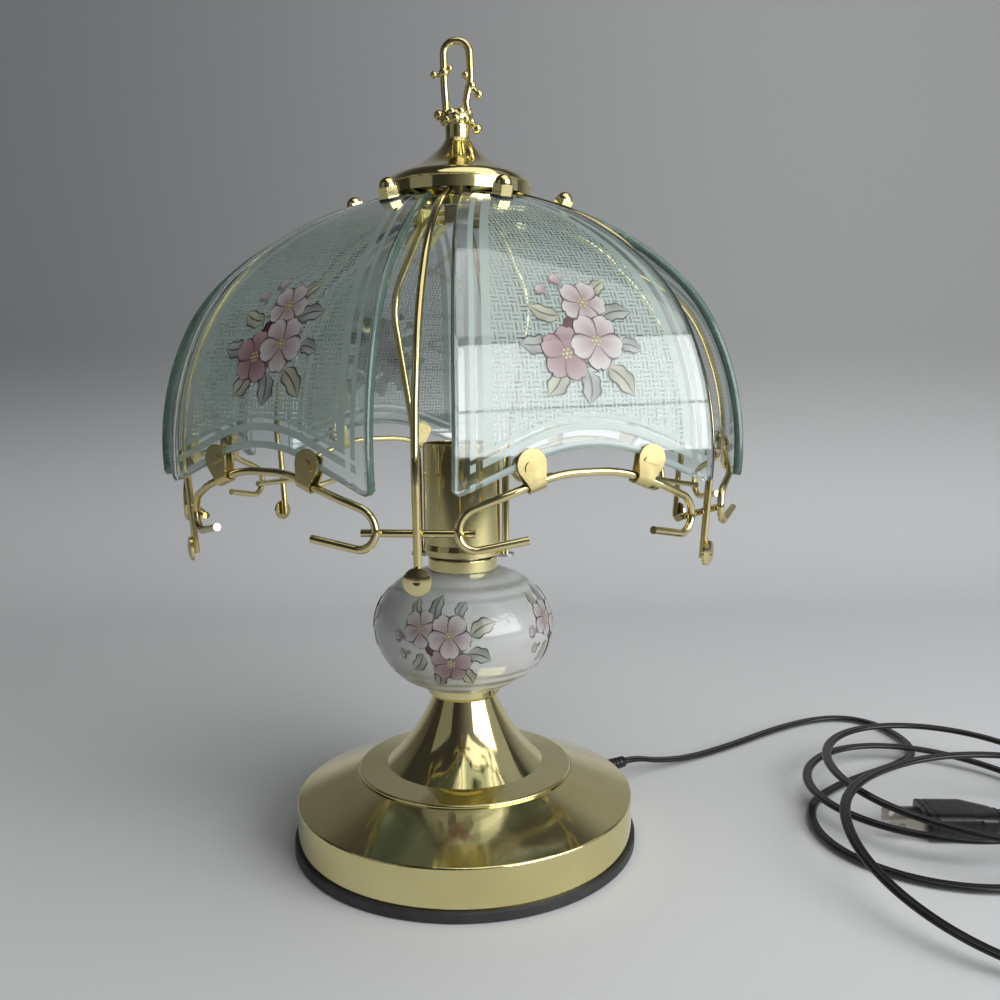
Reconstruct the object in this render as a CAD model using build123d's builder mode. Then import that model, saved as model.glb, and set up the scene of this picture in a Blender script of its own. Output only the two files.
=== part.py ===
from build123d import *
import math
import os

os.makedirs("parts", exist_ok=True)

# Sizes are in millimetres. The origin is the centre of the base on the table and +Z is up.
# The front rib of the shade points along -Y, and the harp stands in the XZ plane.

# Clearances
seat_gap = 0.1
slip_gap = 0.3
thread_gap = 0.06

# Sheet, wire and rod
sheet = 0.8
harp_wire_r = 1.6
rib_wire_r = 1.4
scroll_wire_r = 1.4
cross_rod_r = 1.3

# Base
drum_r = 75.5
band_h = 19.9
deck_rise = 11.1
ring_wall = 1.5
ring_floor = 2.0
ring_lip_h = 2.9
ring_ledge = 6.0
flange_r = 47.9
flange_t = 1.4
brim_r = 35.0
brim_rise = 1.6
bell_h = 34.0
bell_neck_r = 14.0
bell_hollow = 2.2
weight_r = 40.0
weight_h = 11.0
cover_plate_t = 2.0
module_length = 46.0
module_width = 28.0
module_h = 14.0
module_gap = 18.7

# Lamp pipe and its fastenings
pipe_r = 4.8
pipe_bore_r = 3.5
pipe_washer_r = 14.0
pipe_washer_t = 1.6
pipe_nut_af = 15.0
pipe_nut_h = 5.0
pipe_tail = 2.0

# Stem
collar_r = 16.3
collar_foot_r = 14.8
collar_h = 4.2
collar_band_h = 2.7
ball_r = 39.8
ball_core_r = 10.0
ball_lower_h = 28.8
ball_upper_h = 25.0
ball_wall = 4.0
cup_r = 15.3
cup_h = 5.5

# Lamp holder
saddle_t = 1.2
saddle_w = 11.0
cover_r = 17.0
cover_h = 49.0
cover_foot_r = 17.4
cover_foot_h = 2.5
sleeve_t = 0.9
socket_base_h = 14.0
pipe_into_socket = 8.0
shell_r = 13.2
shell_t = 0.5
shell_recess = 4.0
contact_r = 4.0

# Harp
harp_rise = 147.25
harp_leg_h = 42.0
harp_belly = 29.8
harp_belly_h = 112.0
harp_shoulder = 13.5
harp_leg_bend = 120.0
harp_belly_bend = 40.0
harp_corner_bend = 11.0
stud_block_r = 6.5
stud_block_cover = 1.2
stud_block_foot = 2.4
stud_r = 3.15
stud_grip = 8.0

# Hub of the shade
hub_r = 27.6
hub_t = 1.2
hub_depth = 4.4
tab_w = 14.0
tab_r = 49.0
pad_t = 0.4

# Ribs and their discs
rib_tail_r = 14.0
rib_crook_start = 26.0
rib_crook_r = 12.0
rib_slope = 19.0
rib_run = 20.0
rib_bow_r = 100.0
rib_bow_turn = 75.0
rib_leg = 34.0
disc_r = 4.75
disc_t = 1.0
disc_crown = 0.9
disc_up = 2.0

# Glass panels
glass_t = 3.2
glass_top_r = 30.2
glass_top_rise = 0.3
glass_top_slope = 14.5
crown_r = 130.0
crown_turn = 30.0
shoulder_r = 72.0
shoulder_turn = 21.6
skirt_r = 112.0
skirt_turn = 36.0
glass_top_half = 9.6
glass_mid_half = 39.0
glass_foot_half = 49.6
arch_drop = 111.7
arch_pitch = 21.5
arch_round_r = 61.0
corner_r = 3.0
glass_hole_r = 2.6

# Glass fastenings
fixing_r = 43.3
screw_r = 2.0
screw_head_r = 3.5
screw_head_h = 1.4
washer_r = 4.6
washer_t = 0.8
nut_af = 7.6
nut_hex_h = 4.2
nut_dome_r = 3.5

# Scroll wires, cross rods and clips
wire_drop = 7.2
wire_crown_half = 12.0
wire_shoulder = 29.5
loop_drop = 6.5
loop_h = 13.0
loop_offset = 13.6
hook_length = 23.0
hook_rise = 4.3
wire_crown_bend = 50.0
wire_shoulder_bend = 30.0
bend_share = 0.99
loop_top_bend = 8.0
loop_foot_bend = 6.0
cross_rod_stub = 4.0
clip_along = 20.8
clip_w = 10.5
clip_neck_w = 6.0
clip_fold_h = 1.6
clip_back_w = 8.5
clip_t = 0.8
clip_play = 0.15
clip_face_h = 7.0
clip_back_h = 10.5
clip_boss_r = 3.0
clip_boss_t = 0.5

# Cap
cap_r = 31.0
cap_lift = 2.1
cap_band_h = 4.9
cap_bead = 0.5
cap_shoulder_r = 26.0
cap_shoulder_h = 9.3
cap_top_r = 6.4
cap_h = 22.9
cap_hollow = 1.6

# Finial
finial_neck_r = 5.2
finial_foot_r = 6.4
finial_neck_h = 7.1
finial_cup_r = 6.4
finial_cup_h = 6.2
finial_leaves = 8
finial_leaf_r = 1.7
finial_wire_r = 1.6
finial_h = 43.1
finial_left_x = -5.8
finial_right_x = 5.1
finial_arch_bend = 5.2
finial_arm_r = 1.15

# Cord, bushing and plug
cord_r = 2.1
cord_lift = 0.1
cord_angle = 40.5
cord_exit_h = 10.5
bushing_r = 4.2
bushing_flange_r = 5.4
bushing_flange_t = 2.0
bushing_nose = 5.0
relief_length = 20.0
relief_root_r = 3.8
relief_tip_r = 2.8
coil_start = 130.0
coil_pieces = 31
tail_run = 4.0
tail_curl_r = 24.0
tail_curl_turn = 64.0
tail_corners = 3
tail_end_run = 8.0
plug_length = 30.0
plug_w = 23.0
plug_h = 13.0
plug_neck_length = 12.0
plug_neck_r = 3.4
blade_length = 16.0
blade_w = 6.3
blade_t = 1.5
blade_pitch = 12.7
blade_hole_r = 1.6

rib_angles = [-90 + 60 * i for i in range(6)]
panel_angles = [-60 + 60 * i for i in range(6)]

# Heights of the stack, from the table up
rim_z = ring_floor + band_h
deck_z = rim_z + deck_rise
bell_top = deck_z + bell_h
collar_rim_z = bell_top + collar_h
ball_span = ball_r - ball_core_r


def ball_height(radius, half_height):
    # height of the ball's outer face above or below its widest circle
    return half_height * math.sqrt(1 - ((radius - ball_core_r) / ball_span) ** 2)


ball_mid_z = collar_rim_z + seat_gap + ball_height(collar_r - sheet, ball_lower_h)
ball_foot_z = ball_mid_z - ball_lower_h
ball_crown_z = ball_mid_z + ball_upper_h
cup_foot_z = ball_mid_z + ball_height(cup_r - sheet, ball_upper_h) + seat_gap
cup_top = cup_foot_z + cup_h
saddle_top = cup_top + saddle_t
cover_top = saddle_top + cover_h
harp_leg_x = cover_foot_r + slip_gap + harp_wire_r
harp_bar_z = cup_top + harp_rise
stud_block_top = harp_bar_z + harp_wire_r + stud_block_cover
hub_top = stud_block_top + seat_gap + hub_t
cap_foot_z = hub_top + cap_lift
cap_top = cap_foot_z + cap_h
finial_foot_z = cap_top + seat_gap

# Outline of the glass in its own upright plane: three arcs, each tangent to the last.
glass_top_z = hub_top + glass_top_rise
crown_end = glass_top_slope + crown_turn
shoulder_end = crown_end + shoulder_turn
skirt_end = shoulder_end + skirt_turn


def toward(radius, slope):
    # step from an arc's centre to the point where the arc falls away at this slope
    return Vector(radius * math.sin(math.radians(slope)), radius * math.cos(math.radians(slope)))


crown_centre = Vector(glass_top_r, glass_top_z) - toward(crown_r, glass_top_slope)
shoulder_centre = crown_centre + toward(crown_r - shoulder_r, crown_end)
skirt_centre = shoulder_centre + toward(shoulder_r - skirt_r, shoulder_end)


def glass_line(depth):
    # the three arcs, this far inside the outer face
    arcs = [
        (crown_centre, crown_r - depth, glass_top_slope, crown_end),
        (shoulder_centre, shoulder_r - depth, crown_end, shoulder_end),
        (skirt_centre, skirt_r - depth, shoulder_end, skirt_end),
    ]
    for centre, radius, start, end in arcs:
        middle = (start + end) / 2
        yield [centre + toward(radius, slope) for slope in (start, middle, end)]


# Arched lower edge of the glass, seen square to the panel
arch_corner_z = hub_top - arch_drop
arch_apex_z = arch_corner_z + glass_foot_half * math.tan(math.radians(arch_pitch))


def arch_height(across):
    # height of the lower edge at this distance from the panel's middle
    tangent_at = arch_round_r * math.sin(math.radians(arch_pitch))
    if abs(across) > tangent_at:
        return arch_corner_z + (glass_foot_half - abs(across)) * math.tan(math.radians(arch_pitch))
    round_centre = arch_apex_z - arch_round_r / math.cos(math.radians(arch_pitch))
    return round_centre + math.sqrt(arch_round_r**2 - across**2)


# Line of a rib in its own upright plane
rib_tail_z = hub_top + rib_wire_r + seat_gap / 2
crook_centre = Vector(rib_crook_start, rib_tail_z - rib_crook_r)
crook_end = crook_centre + toward(rib_crook_r, rib_slope)
slope_way = Vector(math.cos(math.radians(rib_slope)), -math.sin(math.radians(rib_slope)))
run_end = crook_end + slope_way * rib_run
bow_centre = run_end - toward(rib_bow_r, rib_slope)
leg_slope = rib_slope + rib_bow_turn
bow_end = bow_centre + toward(rib_bow_r, leg_slope)
leg_way = Vector(math.cos(math.radians(leg_slope)), -math.sin(math.radians(leg_slope)))
leg_end = bow_end + leg_way * rib_leg

# Scroll wire: it lies under the middle of the glass and its loops stand level with the rib legs
wire_r = skirt_centre.X + skirt_r - glass_t / 2
wire_crown_z = arch_height(wire_crown_half) - wire_drop
wire_shoulder_z = arch_height(wire_shoulder) - wire_drop
loop_top_z = wire_shoulder_z - loop_drop
loop_foot_z = loop_top_z - loop_h
cross_rod_z = (loop_top_z + loop_foot_z) / 2
leg_r = bow_end.X + leg_way.X * (bow_end.Y - cross_rod_z) / -leg_way.Y
half_sector = math.radians(30)
loop_out = leg_r * math.cos(half_sector) + loop_offset * math.sin(half_sector)
loop_across = leg_r * math.sin(half_sector) - loop_offset * math.cos(half_sector)


def write(piece, name):
    piece.label = name
    export_step(piece, f"parts/{name}.step")


def arc_through(points):
    ThreePointArc(*[(p.X, p.Y) for p in points])


# Rubber edge ring: a floor that carries drum and cover plate, and a lip outside the band
with BuildPart() as base_ring:
    with BuildSketch(Plane.XZ):
        with BuildLine():
            outer = drum_r + seat_gap + ring_wall
            Polyline(
                (drum_r - ring_ledge, 0),
                (outer - ring_wall / 2, 0),
                (outer, ring_wall / 2),
                (outer, ring_floor + ring_lip_h),
                (drum_r + seat_gap, ring_floor + ring_lip_h),
                (drum_r + seat_gap, ring_floor),
                (drum_r - ring_ledge, ring_floor),
                close=True,
            )
        make_face()
    revolve(axis=Axis.Z)
    fillet(base_ring.edges().group_by(Axis.Z)[-1].sort_by(SortBy.RADIUS)[-1:], ring_wall * 0.4)
write(base_ring.part, "base_ring")

# Stamped drum: upright band, sloping deck and a flat under the bell with a hole for the pipe
deck_r = flange_r + sheet
with BuildPart() as base_drum:
    with BuildSketch(Plane.XZ):
        with BuildLine():
            fall = sheet * math.tan(math.atan2(deck_rise, drum_r - deck_r) / 2)
            Polyline(
                (drum_r, ring_floor),
                (drum_r, rim_z),
                (deck_r, deck_z),
                (pipe_r + slip_gap, deck_z),
                (pipe_r + slip_gap, deck_z - sheet),
                (deck_r - fall, deck_z - sheet),
                (drum_r - sheet, rim_z - fall),
                (drum_r - sheet, ring_floor),
                close=True,
            )
        make_face()
    revolve(axis=Axis.Z)
    rim = base_drum.edges().filter_by(GeomType.CIRCLE).filter_by(lambda e: abs(e.radius - drum_r) < 0.01)
    fillet(rim.sort_by(Axis.Z)[-1:], sheet)
    cord_way = Plane(
        origin=(0, 0, cord_exit_h),
        x_dir=(-math.sin(math.radians(cord_angle)), math.cos(math.radians(cord_angle)), 0),
        z_dir=(math.cos(math.radians(cord_angle)), math.sin(math.radians(cord_angle)), 0),
    )
    with BuildSketch(cord_way.offset(drum_r - 2 * bushing_r)):
        Circle(bushing_r)
    extrude(amount=3 * bushing_r, mode=Mode.SUBTRACT)
write(base_drum.part, "base_drum")

# Bell: a trumpet of sheet on a broad brim with a thick edge, closed at the top round the pipe
with BuildPart() as base_bell:
    with BuildSketch(Plane.XZ):
        with BuildLine():
            foot = Vector(flange_r, deck_z + flange_t)
            brim = Vector(brim_r, foot.Y + brim_rise)
            neck = Vector(bell_neck_r, bell_top)
            flank = (neck - brim).normalized()
            inward = Vector(-flank.Y, flank.X)
            middle = (brim + neck) / 2 + inward * bell_hollow
            lower = brim + inward * sheet
            upper = neck + inward * sheet
            within = middle + inward * sheet
            Polyline(
                (flange_r - 2 * sheet, deck_z),
                (flange_r, deck_z),
                (foot.X, foot.Y),
                (brim.X, brim.Y),
            )
            arc_through([brim, middle, neck])
            Polyline(
                (neck.X, neck.Y),
                (pipe_r + slip_gap, bell_top),
                (pipe_r + slip_gap, upper.Y),
                (upper.X, upper.Y),
            )
            arc_through([upper, within, lower])
            Line((lower.X, lower.Y), (flange_r - 2 * sheet, deck_z))
        make_face()
    revolve(axis=Axis.Z)
    brim_edge = base_bell.edges().filter_by(GeomType.CIRCLE).filter_by(lambda e: abs(e.radius - flange_r) < 0.01)
    fillet(brim_edge.sort_by(Axis.Z)[-1:], flange_t * 0.6)
write(base_bell.part, "base_bell")

# Ballast under the deck
weight_top = deck_z - sheet
with BuildPart() as base_weight:
    with BuildSketch(Plane.XY.offset(weight_top - weight_h)):
        Circle(weight_r)
        Circle(pipe_r + slip_gap, mode=Mode.SUBTRACT)
    extrude(amount=weight_h)
    fillet(base_weight.edges().group_by(Axis.Z)[0].sort_by(SortBy.RADIUS)[-1:], 2.5)
write(base_weight.part, "base_weight")

washer_z = weight_top - weight_h - pipe_washer_t
with BuildPart() as pipe_washer:
    with BuildSketch(Plane.XY.offset(washer_z)):
        Circle(pipe_washer_r)
        Circle(pipe_r + slip_gap, mode=Mode.SUBTRACT)
    extrude(amount=pipe_washer_t)
write(pipe_washer.part, "pipe_washer")

with BuildPart() as pipe_nut:
    with BuildSketch(Plane.XY.offset(washer_z - pipe_nut_h)):
        RegularPolygon(pipe_nut_af / 2, 6, major_radius=False)
        Circle(pipe_r + thread_gap, mode=Mode.SUBTRACT)
    extrude(amount=pipe_nut_h)
write(pipe_nut.part, "pipe_nut")

pipe_foot = washer_z - pipe_nut_h - pipe_tail
pipe_head = saddle_top + pipe_into_socket
with BuildPart() as lamp_pipe:
    with BuildSketch(Plane.XY.offset(pipe_foot)):
        Circle(pipe_r)
        Circle(pipe_bore_r, mode=Mode.SUBTRACT)
    extrude(amount=pipe_head - pipe_foot)
write(lamp_pipe.part, "lamp_pipe")

cover_plate_top = ring_floor + cover_plate_t
with BuildPart() as bottom_cover:
    with BuildSketch(Plane.XY.offset(ring_floor)):
        Circle(drum_r - sheet - slip_gap)
    extrude(amount=cover_plate_t)
write(bottom_cover.part, "bottom_cover")

# Touch-control module lying on the bottom cover behind the pipe
module_offset = drum_r - sheet - module_gap - module_width / 2
with BuildPart() as touch_module:
    with BuildSketch(Plane((0, module_offset, cover_plate_top))):
        RectangleRounded(module_length, module_width, 3)
    extrude(amount=module_h)
    fillet(touch_module.edges().group_by(Axis.Z)[-1], 1)
    with BuildSketch(Plane((0, module_offset, cover_plate_top + module_h))):
        with GridLocations(module_length / 5, module_width / 2, 4, 2):
            Circle(1.2)
    extrude(amount=-2, mode=Mode.SUBTRACT)
write(touch_module.part, "touch_module")

# Bushing in the band for the cord, with a tapered strain relief
with BuildPart() as cord_bushing:
    with BuildSketch(cord_way.offset(drum_r + seat_gap)):
        Circle(bushing_flange_r)
    extrude(amount=bushing_flange_t)
    with BuildSketch(cord_way.offset(drum_r - bushing_nose)):
        Circle(bushing_r - seat_gap)
    extrude(amount=bushing_nose + seat_gap)
    fillet(cord_bushing.edges().filter_by(GeomType.CIRCLE).sort_by(Axis.X)[-1:], 0.8)
    relief_at = drum_r + seat_gap + bushing_flange_t
    with BuildSketch(cord_way.offset(relief_at)):
        Circle(relief_root_r)
    with BuildSketch(cord_way.offset(relief_at + relief_length)):
        Circle(relief_tip_r)
    loft()
write(cord_bushing.part, "cord_bushing")

# Collar: a cup on the bell whose rim carries the ball
with BuildPart() as lower_collar:
    with BuildSketch(Plane.XZ):
        with BuildLine():
            band_foot = collar_rim_z - collar_band_h
            Polyline(
                (pipe_r + slip_gap, bell_top),
                (collar_foot_r, bell_top),
                (collar_r, band_foot),
                (collar_r, collar_rim_z),
                (collar_r - sheet, collar_rim_z),
                (collar_r - sheet, band_foot + sheet / 2),
                (collar_foot_r - sheet / 2, bell_top + sheet),
                (pipe_r + slip_gap, bell_top + sheet),
                close=True,
            )
        make_face()
    revolve(axis=Axis.Z)
write(lower_collar.part, "lower_collar")

# Ceramic ball: hollow, flattened above and below, with a foot ring round the pipe
with BuildPart() as ceramic_ball:
    with BuildSketch(Plane.XZ):
        with BuildLine():
            EllipticalCenterArc((ball_core_r, ball_mid_z), ball_span, ball_upper_h, 0, arc_size=90)
            EllipticalCenterArc((ball_core_r, ball_mid_z), ball_span, ball_lower_h, 270, arc_size=90)
            Polyline(
                (ball_core_r, ball_foot_z),
                (pipe_r + slip_gap, ball_foot_z),
                (pipe_r + slip_gap, ball_crown_z),
                (ball_core_r, ball_crown_z),
            )
        make_face()
        with BuildLine():
            inner = ball_span - ball_wall
            EllipticalCenterArc((ball_core_r, ball_mid_z), inner, ball_upper_h - ball_wall, 0, arc_size=90)
            EllipticalCenterArc((ball_core_r, ball_mid_z), inner, ball_lower_h - ball_wall, 270, arc_size=90)
            Polyline(
                (ball_core_r, ball_foot_z + ball_wall),
                (0, ball_foot_z + ball_wall),
                (0, ball_crown_z - ball_wall),
                (ball_core_r, ball_crown_z - ball_wall),
            )
        make_face(mode=Mode.SUBTRACT)
    revolve(axis=Axis.Z)
write(ceramic_ball.part, "ceramic_ball")

# Upper cup: a shallow inverted cup on the ball
with BuildPart() as upper_cup:
    with BuildSketch(Plane.XZ):
        with BuildLine():
            Polyline(
                (cup_r - sheet, cup_foot_z),
                (cup_r, cup_foot_z),
                (cup_r, cup_top),
                (pipe_r + slip_gap, cup_top),
                (pipe_r + slip_gap, cup_top - sheet),
                (cup_r - sheet, cup_top - sheet),
                close=True,
            )
        make_face()
    revolve(axis=Axis.Z)
    top_edge = upper_cup.edges().group_by(Axis.Z)[-1].sort_by(SortBy.RADIUS)[-1:]
    fillet(top_edge, sheet)
write(upper_cup.part, "upper_cup")

# Harp saddle: a strip across the cup with a hole for each leg
with BuildPart() as harp_saddle:
    with BuildSketch(Plane.XY.offset(cup_top)):
        SlotCenterToCenter(2 * harp_leg_x, 2 * harp_wire_r + 4.2)
        Circle(saddle_w)
        Circle(pipe_r + slip_gap, mode=Mode.SUBTRACT)
        with Locations((-harp_leg_x, 0), (harp_leg_x, 0)):
            Circle(harp_wire_r + thread_gap, mode=Mode.SUBTRACT)
    extrude(amount=saddle_t)
write(harp_saddle.part, "harp_saddle")

# Socket cover: an open tube with a turned rim and a slightly spread foot
with BuildPart() as socket_cover:
    with BuildSketch(Plane.XZ):
        with BuildLine():
            Polyline(
                (cover_foot_r - sheet, saddle_top),
                (cover_foot_r, saddle_top),
                (cover_foot_r, saddle_top + cover_foot_h),
                (cover_r, saddle_top + 2 * cover_foot_h),
                (cover_r, cover_top),
                (cover_r - sheet, cover_top),
                (cover_r - sheet, saddle_top + 2 * cover_foot_h),
                (cover_foot_r - sheet, saddle_top + cover_foot_h),
                close=True,
            )
        make_face()
    revolve(axis=Axis.Z)
    fillet(socket_cover.edges().group_by(Axis.Z)[-1], sheet * 0.4)
write(socket_cover.part, "socket_cover")

# Lamp socket: base, screw shell, centre contact and the insulating sleeve round them
sleeve_r = cover_r - sheet - slip_gap
socket_base_r = sleeve_r - sleeve_t - seat_gap
socket_base_top = saddle_top + socket_base_h
shell_top = cover_top - shell_recess
with BuildPart() as insulating_sleeve:
    with BuildSketch(Plane.XY.offset(saddle_top)):
        Circle(sleeve_r)
        Circle(sleeve_r - sleeve_t, mode=Mode.SUBTRACT)
    extrude(amount=shell_top - saddle_top + shell_recess / 2)
write(insulating_sleeve.part, "insulating_sleeve")

with BuildPart() as socket_base:
    with BuildSketch(Plane.XY.offset(saddle_top)):
        Circle(socket_base_r)
    extrude(amount=socket_base_h)
    with BuildSketch(Plane.XY.offset(saddle_top)):
        Circle(pipe_r + thread_gap)
    extrude(amount=pipe_into_socket + slip_gap, mode=Mode.SUBTRACT)
    chamfer(socket_base.edges().group_by(Axis.Z)[-1], 0.8)
write(socket_base.part, "socket_base")

with BuildPart() as socket_shell:
    with BuildSketch(Plane.XZ):
        with BuildLine():
            Polyline(
                (contact_r + 2, socket_base_top),
                (shell_r + shell_t, socket_base_top),
                (shell_r + shell_t, shell_top),
                (shell_r, shell_top),
                (shell_r, socket_base_top + shell_t),
                (contact_r + 2, socket_base_top + shell_t),
                close=True,
            )
        make_face()
    revolve(axis=Axis.Z)
write(socket_shell.part, "socket_shell")

with BuildPart() as centre_contact:
    with BuildSketch(Plane.XY.offset(socket_base_top)):
        Circle(contact_r)
    extrude(amount=shell_t)
    fillet(centre_contact.edges().group_by(Axis.Z)[-1], shell_t * 0.6)
write(centre_contact.part, "centre_contact")

# Harp: one bent wire, from the saddle round the bulb's place to the bar under the hub
with BuildPart() as harp:
    half = [
        (harp_leg_x, cup_top),
        (harp_leg_x, saddle_top + harp_leg_h),
        (harp_belly, cup_top + harp_belly_h),
        (harp_shoulder, harp_bar_z),
    ]
    right = [Vector(x, 0, z) for x, z in half]
    left = [Vector(-x, 0, z) for x, z in half]
    harp_bends = [harp_leg_bend, harp_belly_bend, harp_corner_bend]
    with BuildLine():
        FilletPolyline(*right, *reversed(left), radius=[*harp_bends, *reversed(harp_bends)])
    with BuildSketch(Plane(right[0])):
        Circle(harp_wire_r)
    sweep()
write(harp.part, "harp")

# Stud on the harp's bar, which carries hub, cap and finial
stud_top = finial_foot_z + stud_grip
with BuildPart() as harp_stud:
    block_foot = harp_bar_z - harp_wire_r - stud_block_foot
    with BuildSketch(Plane.XY.offset(block_foot)):
        RegularPolygon(stud_block_r, 6, rotation=30)
    extrude(amount=stud_block_top - block_foot)
    with BuildSketch(Plane.YZ.offset(-2 * stud_block_r)):
        with Locations((0, harp_bar_z)):
            Circle(harp_wire_r + thread_gap)
    extrude(amount=4 * stud_block_r, mode=Mode.SUBTRACT)
    with BuildSketch(Plane.XY.offset(stud_block_top)):
        Circle(stud_r)
    extrude(amount=stud_top - stud_block_top)
    chamfer(harp_stud.edges().group_by(Axis.Z)[-1], 0.6)
write(harp_stud.part, "harp_stud")

# Hub of the shade: an inverted cup on the stud, with a tab under each panel
tab_depth = glass_t + pad_t


def crown_point(depth, radius):
    # point of the crown arc at this distance from the axis, this far inside the glass's outer face
    reach = crown_r - depth
    return Vector(radius, crown_centre.Y + math.sqrt(reach**2 - (radius - crown_centre.X) ** 2))


fixing_point = crown_point(0, fixing_r)
fixing_way = (fixing_point - crown_centre).normalized()


def fixing_plane(angle, height):
    # plane square to the glass at the fixing of one panel, this far above its outer face
    turn = math.radians(angle)
    spot = fixing_point + fixing_way * height
    return Plane(
        origin=(spot.X * math.cos(turn), spot.X * math.sin(turn), spot.Y),
        x_dir=(-math.sin(turn), math.cos(turn), 0),
        z_dir=(fixing_way.X * math.cos(turn), fixing_way.X * math.sin(turn), fixing_way.Y),
    )


with BuildPart() as shade_hub:
    with BuildSketch(Plane.XZ):
        with BuildLine():
            Polyline(
                (stud_r + slip_gap, hub_top - hub_t),
                (stud_r + slip_gap, hub_top),
                (hub_r, hub_top),
                (hub_r, hub_top - hub_depth),
                (hub_r - hub_t, hub_top - hub_depth),
                (hub_r - hub_t, hub_top - hub_t),
                close=True,
            )
        make_face()
    revolve(axis=Axis.Z)
    top_edge = shade_hub.edges().group_by(Axis.Z)[-1].sort_by(SortBy.RADIUS)[-1:]
    fillet(top_edge, hub_t)
    for angle in panel_angles:
        root = hub_r - hub_t
        upper = [crown_point(tab_depth, r) for r in (root, (root + tab_r) / 2, tab_r)]
        lower = [crown_point(tab_depth + hub_t, r) for r in (tab_r, (root + tab_r) / 2, root)]
        with BuildSketch(Plane.XZ.rotated((0, 0, angle))):
            with BuildLine():
                arc_through(upper)
                Line((upper[2].X, upper[2].Y), (lower[0].X, lower[0].Y))
                arc_through(lower)
                Line((lower[2].X, lower[2].Y), (upper[0].X, upper[0].Y))
            make_face()
        extrude(amount=tab_w / 2, both=True)
        with BuildSketch(fixing_plane(angle, 0)):
            Circle(screw_r + slip_gap)
        extrude(amount=-4 * tab_depth, mode=Mode.SUBTRACT)
write(shade_hub.part, "shade_hub")

# Glass panel: a strip bent on three arcs, cut to its bowed sides and arched foot
with BuildPart() as glass_panel:
    with BuildSketch(Plane.XZ):
        outer_arcs = list(glass_line(0))
        inner_arcs = list(glass_line(glass_t))
        with BuildLine():
            for points in outer_arcs:
                arc_through(points)
            Line(*[(p.X, p.Y) for p in (outer_arcs[-1][2], inner_arcs[-1][2])])
            for points in reversed(inner_arcs):
                arc_through(list(reversed(points)))
            Line(*[(p.X, p.Y) for p in (inner_arcs[0][0], outer_arcs[0][0])])
        make_face()
    extrude(amount=1.5 * glass_foot_half, both=True)
    slant = Plane((0, 0, 0), x_dir=(0, 1, 0), z_dir=(1, 0, 1))
    top_at = (outer_arcs[0][0].Y - outer_arcs[0][0].X) / math.sqrt(2)
    mid_at = (outer_arcs[1][0].Y - outer_arcs[1][0].X) / math.sqrt(2)
    foot_out = skirt_centre.X + math.sqrt(skirt_r**2 - (arch_corner_z - skirt_centre.Y) ** 2)
    foot_at = (arch_corner_z - foot_out) / math.sqrt(2)
    side_end = foot_at - glass_foot_half / 2
    with BuildSketch(slant):
        with BuildLine():
            ThreePointArc((glass_top_half, top_at), (glass_mid_half, mid_at), (glass_foot_half, foot_at))
            Polyline(
                (glass_foot_half, foot_at),
                (glass_foot_half, side_end),
                (-glass_foot_half, side_end),
                (-glass_foot_half, foot_at),
            )
            ThreePointArc((-glass_foot_half, foot_at), (-glass_mid_half, mid_at), (-glass_top_half, top_at))
            Polyline(
                (-glass_top_half, top_at),
                (-glass_top_half, top_at + 2 * glass_t),
                (glass_top_half, top_at + 2 * glass_t),
                (glass_top_half, top_at),
            )
        make_face()
    extrude(amount=2 * hub_top, mode=Mode.INTERSECT)
    with BuildSketch(Plane.YZ.offset(glass_top_r)):
        with BuildLine():
            flank_z = 2 * arch_corner_z - arch_apex_z
            FilletPolyline(
                (-2 * glass_foot_half, flank_z),
                (0, arch_apex_z),
                (2 * glass_foot_half, flank_z),
                radius=arch_round_r,
            )
            Polyline(
                (2 * glass_foot_half, flank_z),
                (2 * glass_foot_half, flank_z - glass_foot_half),
                (-2 * glass_foot_half, flank_z - glass_foot_half),
                (-2 * glass_foot_half, flank_z),
            )
        make_face()
    extrude(amount=2 * skirt_r, mode=Mode.SUBTRACT)
    corners = glass_panel.edges().filter_by(GeomType.ELLIPSE).filter_by(lambda e: e.length < 2 * glass_t)
    fillet(corners, corner_r)
    with BuildSketch(fixing_plane(0, glass_t)):
        Circle(glass_hole_r)
    extrude(amount=-3 * glass_t, mode=Mode.SUBTRACT)
for number, angle in enumerate(panel_angles, 1):
    write(glass_panel.part.rotate(Axis.Z, angle), f"glass_panel_{number}")

# Screws, washers and acorn nuts that hold the panels to the tabs
stack = [fixing_plane(angle, 0) for angle in panel_angles]
nut_h = nut_hex_h + nut_dome_r
with BuildPart() as glass_screws:
    for plane in stack:
        head_at = -tab_depth - hub_t - seat_gap
        with BuildSketch(plane.offset(head_at)):
            Circle(screw_head_r)
        extrude(amount=-screw_head_h)
        with BuildSketch(plane.offset(head_at)):
            Circle(screw_r)
        extrude(amount=washer_t + nut_hex_h - head_at)
write(glass_screws.part, "glass_screws")

with BuildPart() as glass_washers:
    for plane in stack:
        with BuildSketch(plane.offset(seat_gap / 2)):
            Circle(washer_r)
            Circle(screw_r + slip_gap, mode=Mode.SUBTRACT)
        extrude(amount=washer_t - seat_gap / 2)
write(glass_washers.part, "glass_washers")

with BuildPart() as acorn_nuts:
    for plane in stack:
        with BuildSketch(plane.offset(washer_t)):
            RegularPolygon(nut_af / 2, 6, major_radius=False)
        extrude(amount=nut_hex_h)
        with BuildSketch(Plane(plane.offset(washer_t + nut_hex_h).origin, x_dir=plane.x_dir, z_dir=plane.y_dir)):
            with BuildLine():
                CenterArc((0, 0), nut_dome_r, 0, -90)
                Polyline((0, -nut_dome_r), (0, 0), (nut_dome_r, 0))
            make_face()
        revolve(axis=Axis(plane.origin, plane.z_dir))
        with BuildSketch(plane.offset(washer_t)):
            Circle(screw_r + thread_gap)
        extrude(amount=nut_hex_h + slip_gap, mode=Mode.SUBTRACT)
write(acorn_nuts.part, "acorn_nuts")

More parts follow.
